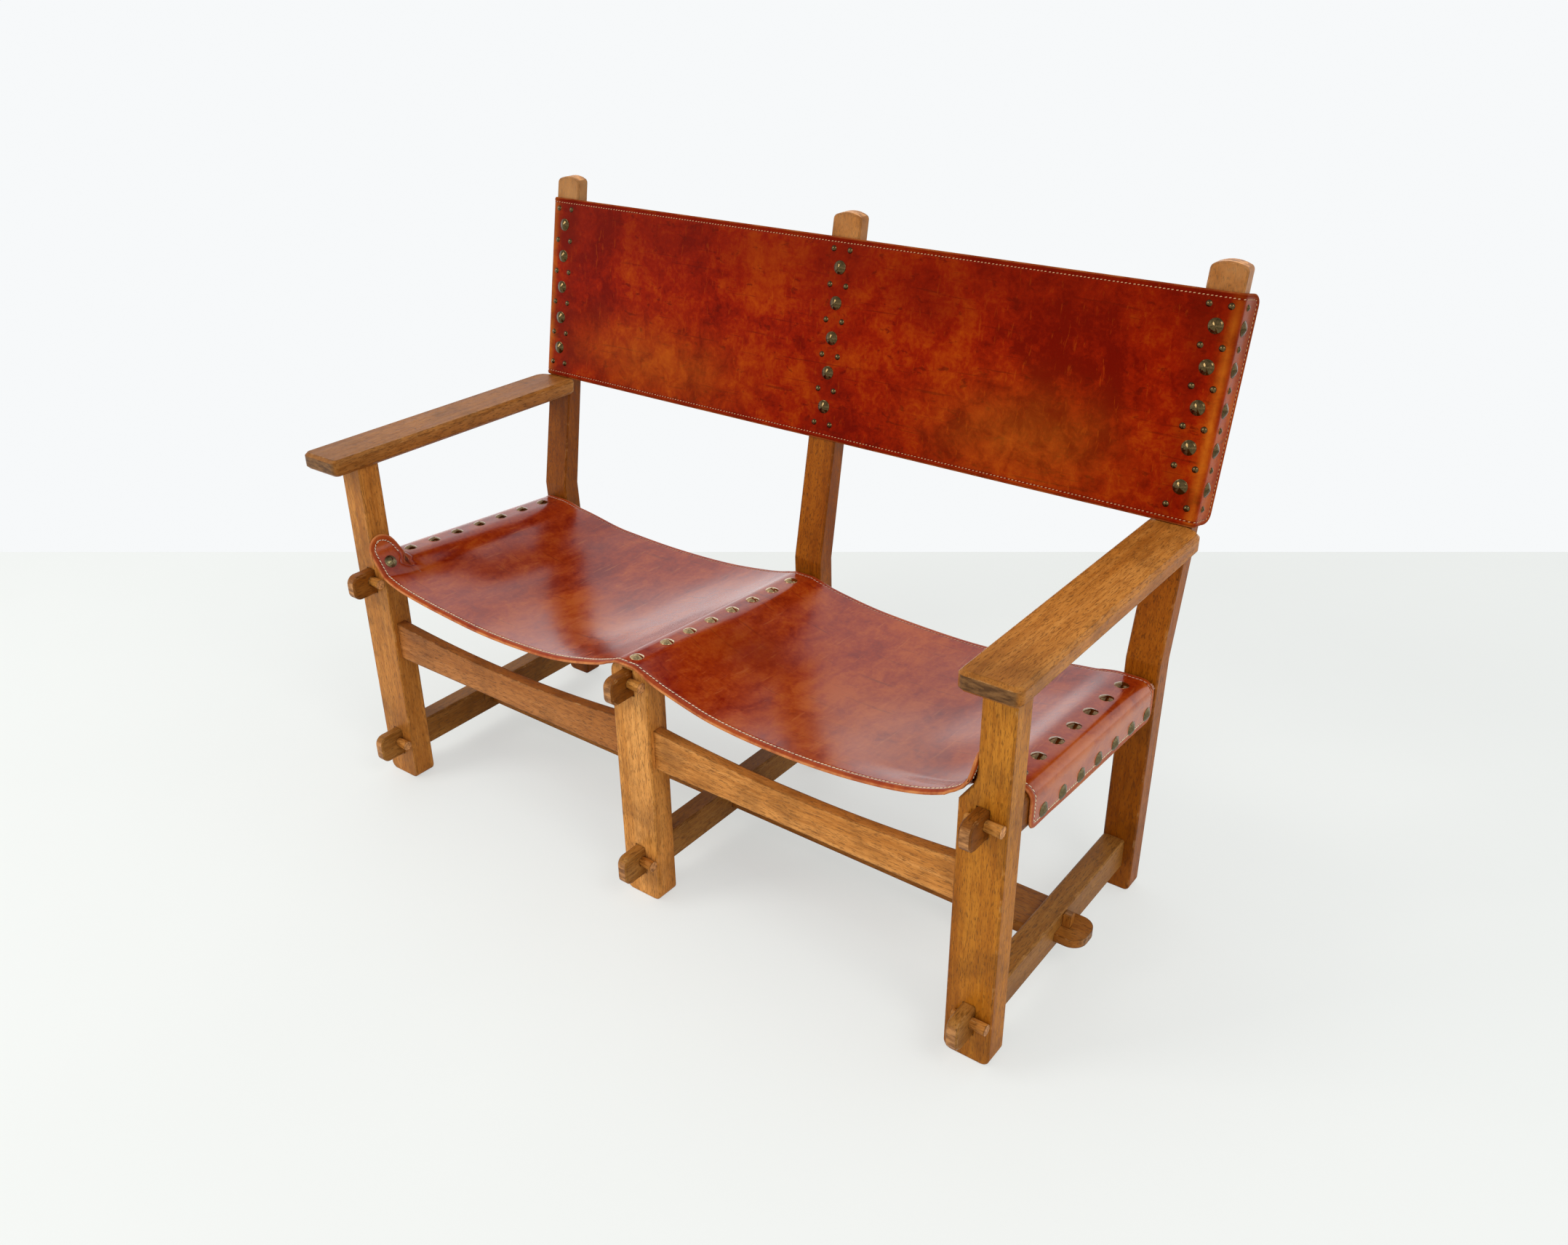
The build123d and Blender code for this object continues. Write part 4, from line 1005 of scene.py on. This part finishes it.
brightBrass = metalMaterial("bright_brass", (0.58, 0.41, 0.21), (0.34, 0.23, 0.11), 0.06)
brownBrass = metalMaterial("brown_brass", (0.27, 0.17, 0.085), (0.13, 0.08, 0.038), 0.06)
oliveBronze = metalMaterial("olive_bronze", (0.17, 0.13, 0.062), (0.1, 0.076, 0.038), 0.22)
darkBronze = metalMaterial("dark_bronze", (0.11, 0.072, 0.03), (0.06, 0.04, 0.016), 0.05)
largeHead = nailModel(heads["large"], 28)
smallHead = nailModel(heads["small"], 18)
placeHeads("seat_heads", "seat_nails", largeHead,
           {"top": brightBrass, "rail": brownBrass, "side": oliveBronze}, seatZones)
placeHeads("back_heads", "back_nails", largeHead, {"top": darkBronze})
placeHeads("back_small_heads", "back_studs", smallHead, {"top": darkBronze})
bpy.data.objects.remove(largeHead)
bpy.data.objects.remove(smallHead)
print("nail heads placed")


# room: pale floor that ends at the wall line, plain bright surroundings

room = {"floor": (0.865, 0.885, 0.862), "wall": (0.93, 0.945, 0.955), "ownLight": 0.6, "wallLine": 0.0567}

view = {  # camera fitted to the photograph
    "yaw": 37.07584, "pitch": 27.76066, "roll": -0.61849, "eye": (1.223888, -1.50868, 1.395143),
    "lens": 30.565, "shift": (0.00036, 0.0031),
}
yaw, pitch, roll = (math.radians(view[turn]) for turn in ("yaw", "pitch", "roll"))
ahead = Vector((-math.sin(yaw), math.cos(yaw), 0))
sideways = Vector((math.cos(yaw), math.sin(yaw), 0))
eye = Vector(view["eye"])
forward = ahead * math.cos(pitch) - Vector((0, 0, math.sin(pitch)))
upward = sideways.cross(forward)
right = sideways * math.cos(roll) + upward * math.sin(roll)
top = upward * math.cos(roll) - sideways * math.sin(roll)

bpy.ops.mesh.primitive_plane_add(size=1, location=(0, 0, 0))
floor = bpy.context.active_object
floor.name = "floor"
spots = [Vector((eye.x, eye.y, 0)) + sideways * across - ahead * 16 for across in (-16, 16)]
for across in (4, -4):  # far edge level in the picture
    way = forward + right * across + top * room["wallLine"]
    spots.append(eye - way * (eye.z / way.z))
corners = sorted(floor.data.vertices, key=lambda v: math.atan2(v.co.y, v.co.x))  # round the plane
for corner, spot in zip(corners, spots):
    corner.co = spot
material, tree, surface = newMaterial("pale_floor")
cloud = noiseAt(tree, mapped(tree, (1, 1, 1)), 1.3, 4)
tint = colourRamp(tree, [(0.3, tuple(c * 0.985 for c in room["floor"])), (0.7, room["floor"])], cloud)
tree.links.new(tint, surface.inputs["Base Color"])
surface.inputs["Roughness"].default_value = 0.6
surface.inputs["Specular IOR Level"].default_value = 0.2
glow = addNode(tree, "ShaderNodeEmission", Strength=1.0)  # lifts the shadows, only for the camera
tree.links.new(tint, glow.inputs["Color"])
seen = tree.nodes.new("ShaderNodeLightPath")
lifted = tree.nodes.new("ShaderNodeMixShader")
tree.links.new(mathNode(tree, 'MULTIPLY', seen.outputs["Is Camera Ray"], room["ownLight"]), lifted.inputs["Fac"])
tree.links.new(surface.outputs["BSDF"], lifted.inputs[1])
tree.links.new(glow.outputs["Emission"], lifted.inputs[2])
tree.links.new(lifted.outputs["Shader"], tree.nodes["Material Output"].inputs["Surface"])
floor.data.materials.append(material)

world = bpy.data.worlds.new("surroundings")
bpy.context.scene.world = world
world.use_nodes = True
tree = world.node_tree
tree.nodes.clear()
output = tree.nodes.new("ShaderNodeOutputWorld")
seen = addNode(tree, "ShaderNodeBackground", Color=(*room["wall"], 1), Strength=1.0)
light = addNode(tree, "ShaderNodeBackground", Color=(0.97, 0.985, 1.0, 1))
chosen = tree.nodes.new("ShaderNodeMixShader")
ray = tree.nodes.new("ShaderNodeLightPath")
toward = tree.nodes.new("ShaderNodeNewGeometry")
height = component(tree, toward.outputs["Incoming"], "Z")
low = spread(tree, height, -0.42, -0.18, 0.12, 0.65)  # the wall reflects brighter low down
above = spread(tree, height, -0.95, -0.75, -0.45, 0.0)  # the ceiling is darker
mirrored = mathNode(tree, 'ADD', low, above)
tree.links.new(mathNode(tree, 'ADD', mathNode(tree, 'MULTIPLY', ray.outputs["Is Glossy Ray"], mirrored), 0.82),
               light.inputs["Strength"])
tree.links.new(ray.outputs["Is Camera Ray"], chosen.inputs["Fac"])
tree.links.new(light.outputs["Background"], chosen.inputs[1])
tree.links.new(seen.outputs["Background"], chosen.inputs[2])
tree.links.new(chosen.outputs["Shader"], output.inputs["Surface"])

lamps = {
    "window": {"place": (-2.2, -2.6, 2.9), "size": 1.6, "power": 62.0, "colour": (1.0, 0.98, 0.95)},
    "room": {"place": (2.8, -1.2, 3.0), "size": 1.4, "power": 34.0, "colour": (1.0, 0.99, 0.97)},
}
for name, look in lamps.items():
    bpy.ops.object.light_add(type='AREA', location=look["place"])
    lamp = bpy.context.active_object
    lamp.name = name
    lamp.data.size = look["size"]
    lamp.data.energy = look["power"]
    lamp.data.color = look["colour"]
    lamp.rotation_euler = (Vector((0, 0, 0.4)) - Vector(look["place"])).to_track_quat('-Z', 'Y').to_euler()

bpy.ops.object.camera_add(location=eye)
camera = bpy.context.active_object
camera.matrix_world = Matrix.Translation(eye) @ Matrix((right, top, -forward)).transposed().to_4x4()
camera.data.sensor_width = 36.0
camera.data.lens = view["lens"]
camera.data.shift_x, camera.data.shift_y = view["shift"]
camera.data.clip_end = 60
bpy.context.scene.camera = camera
bpy.context.scene.view_settings.view_transform = 'Standard'
print("room, lamps and camera ready")
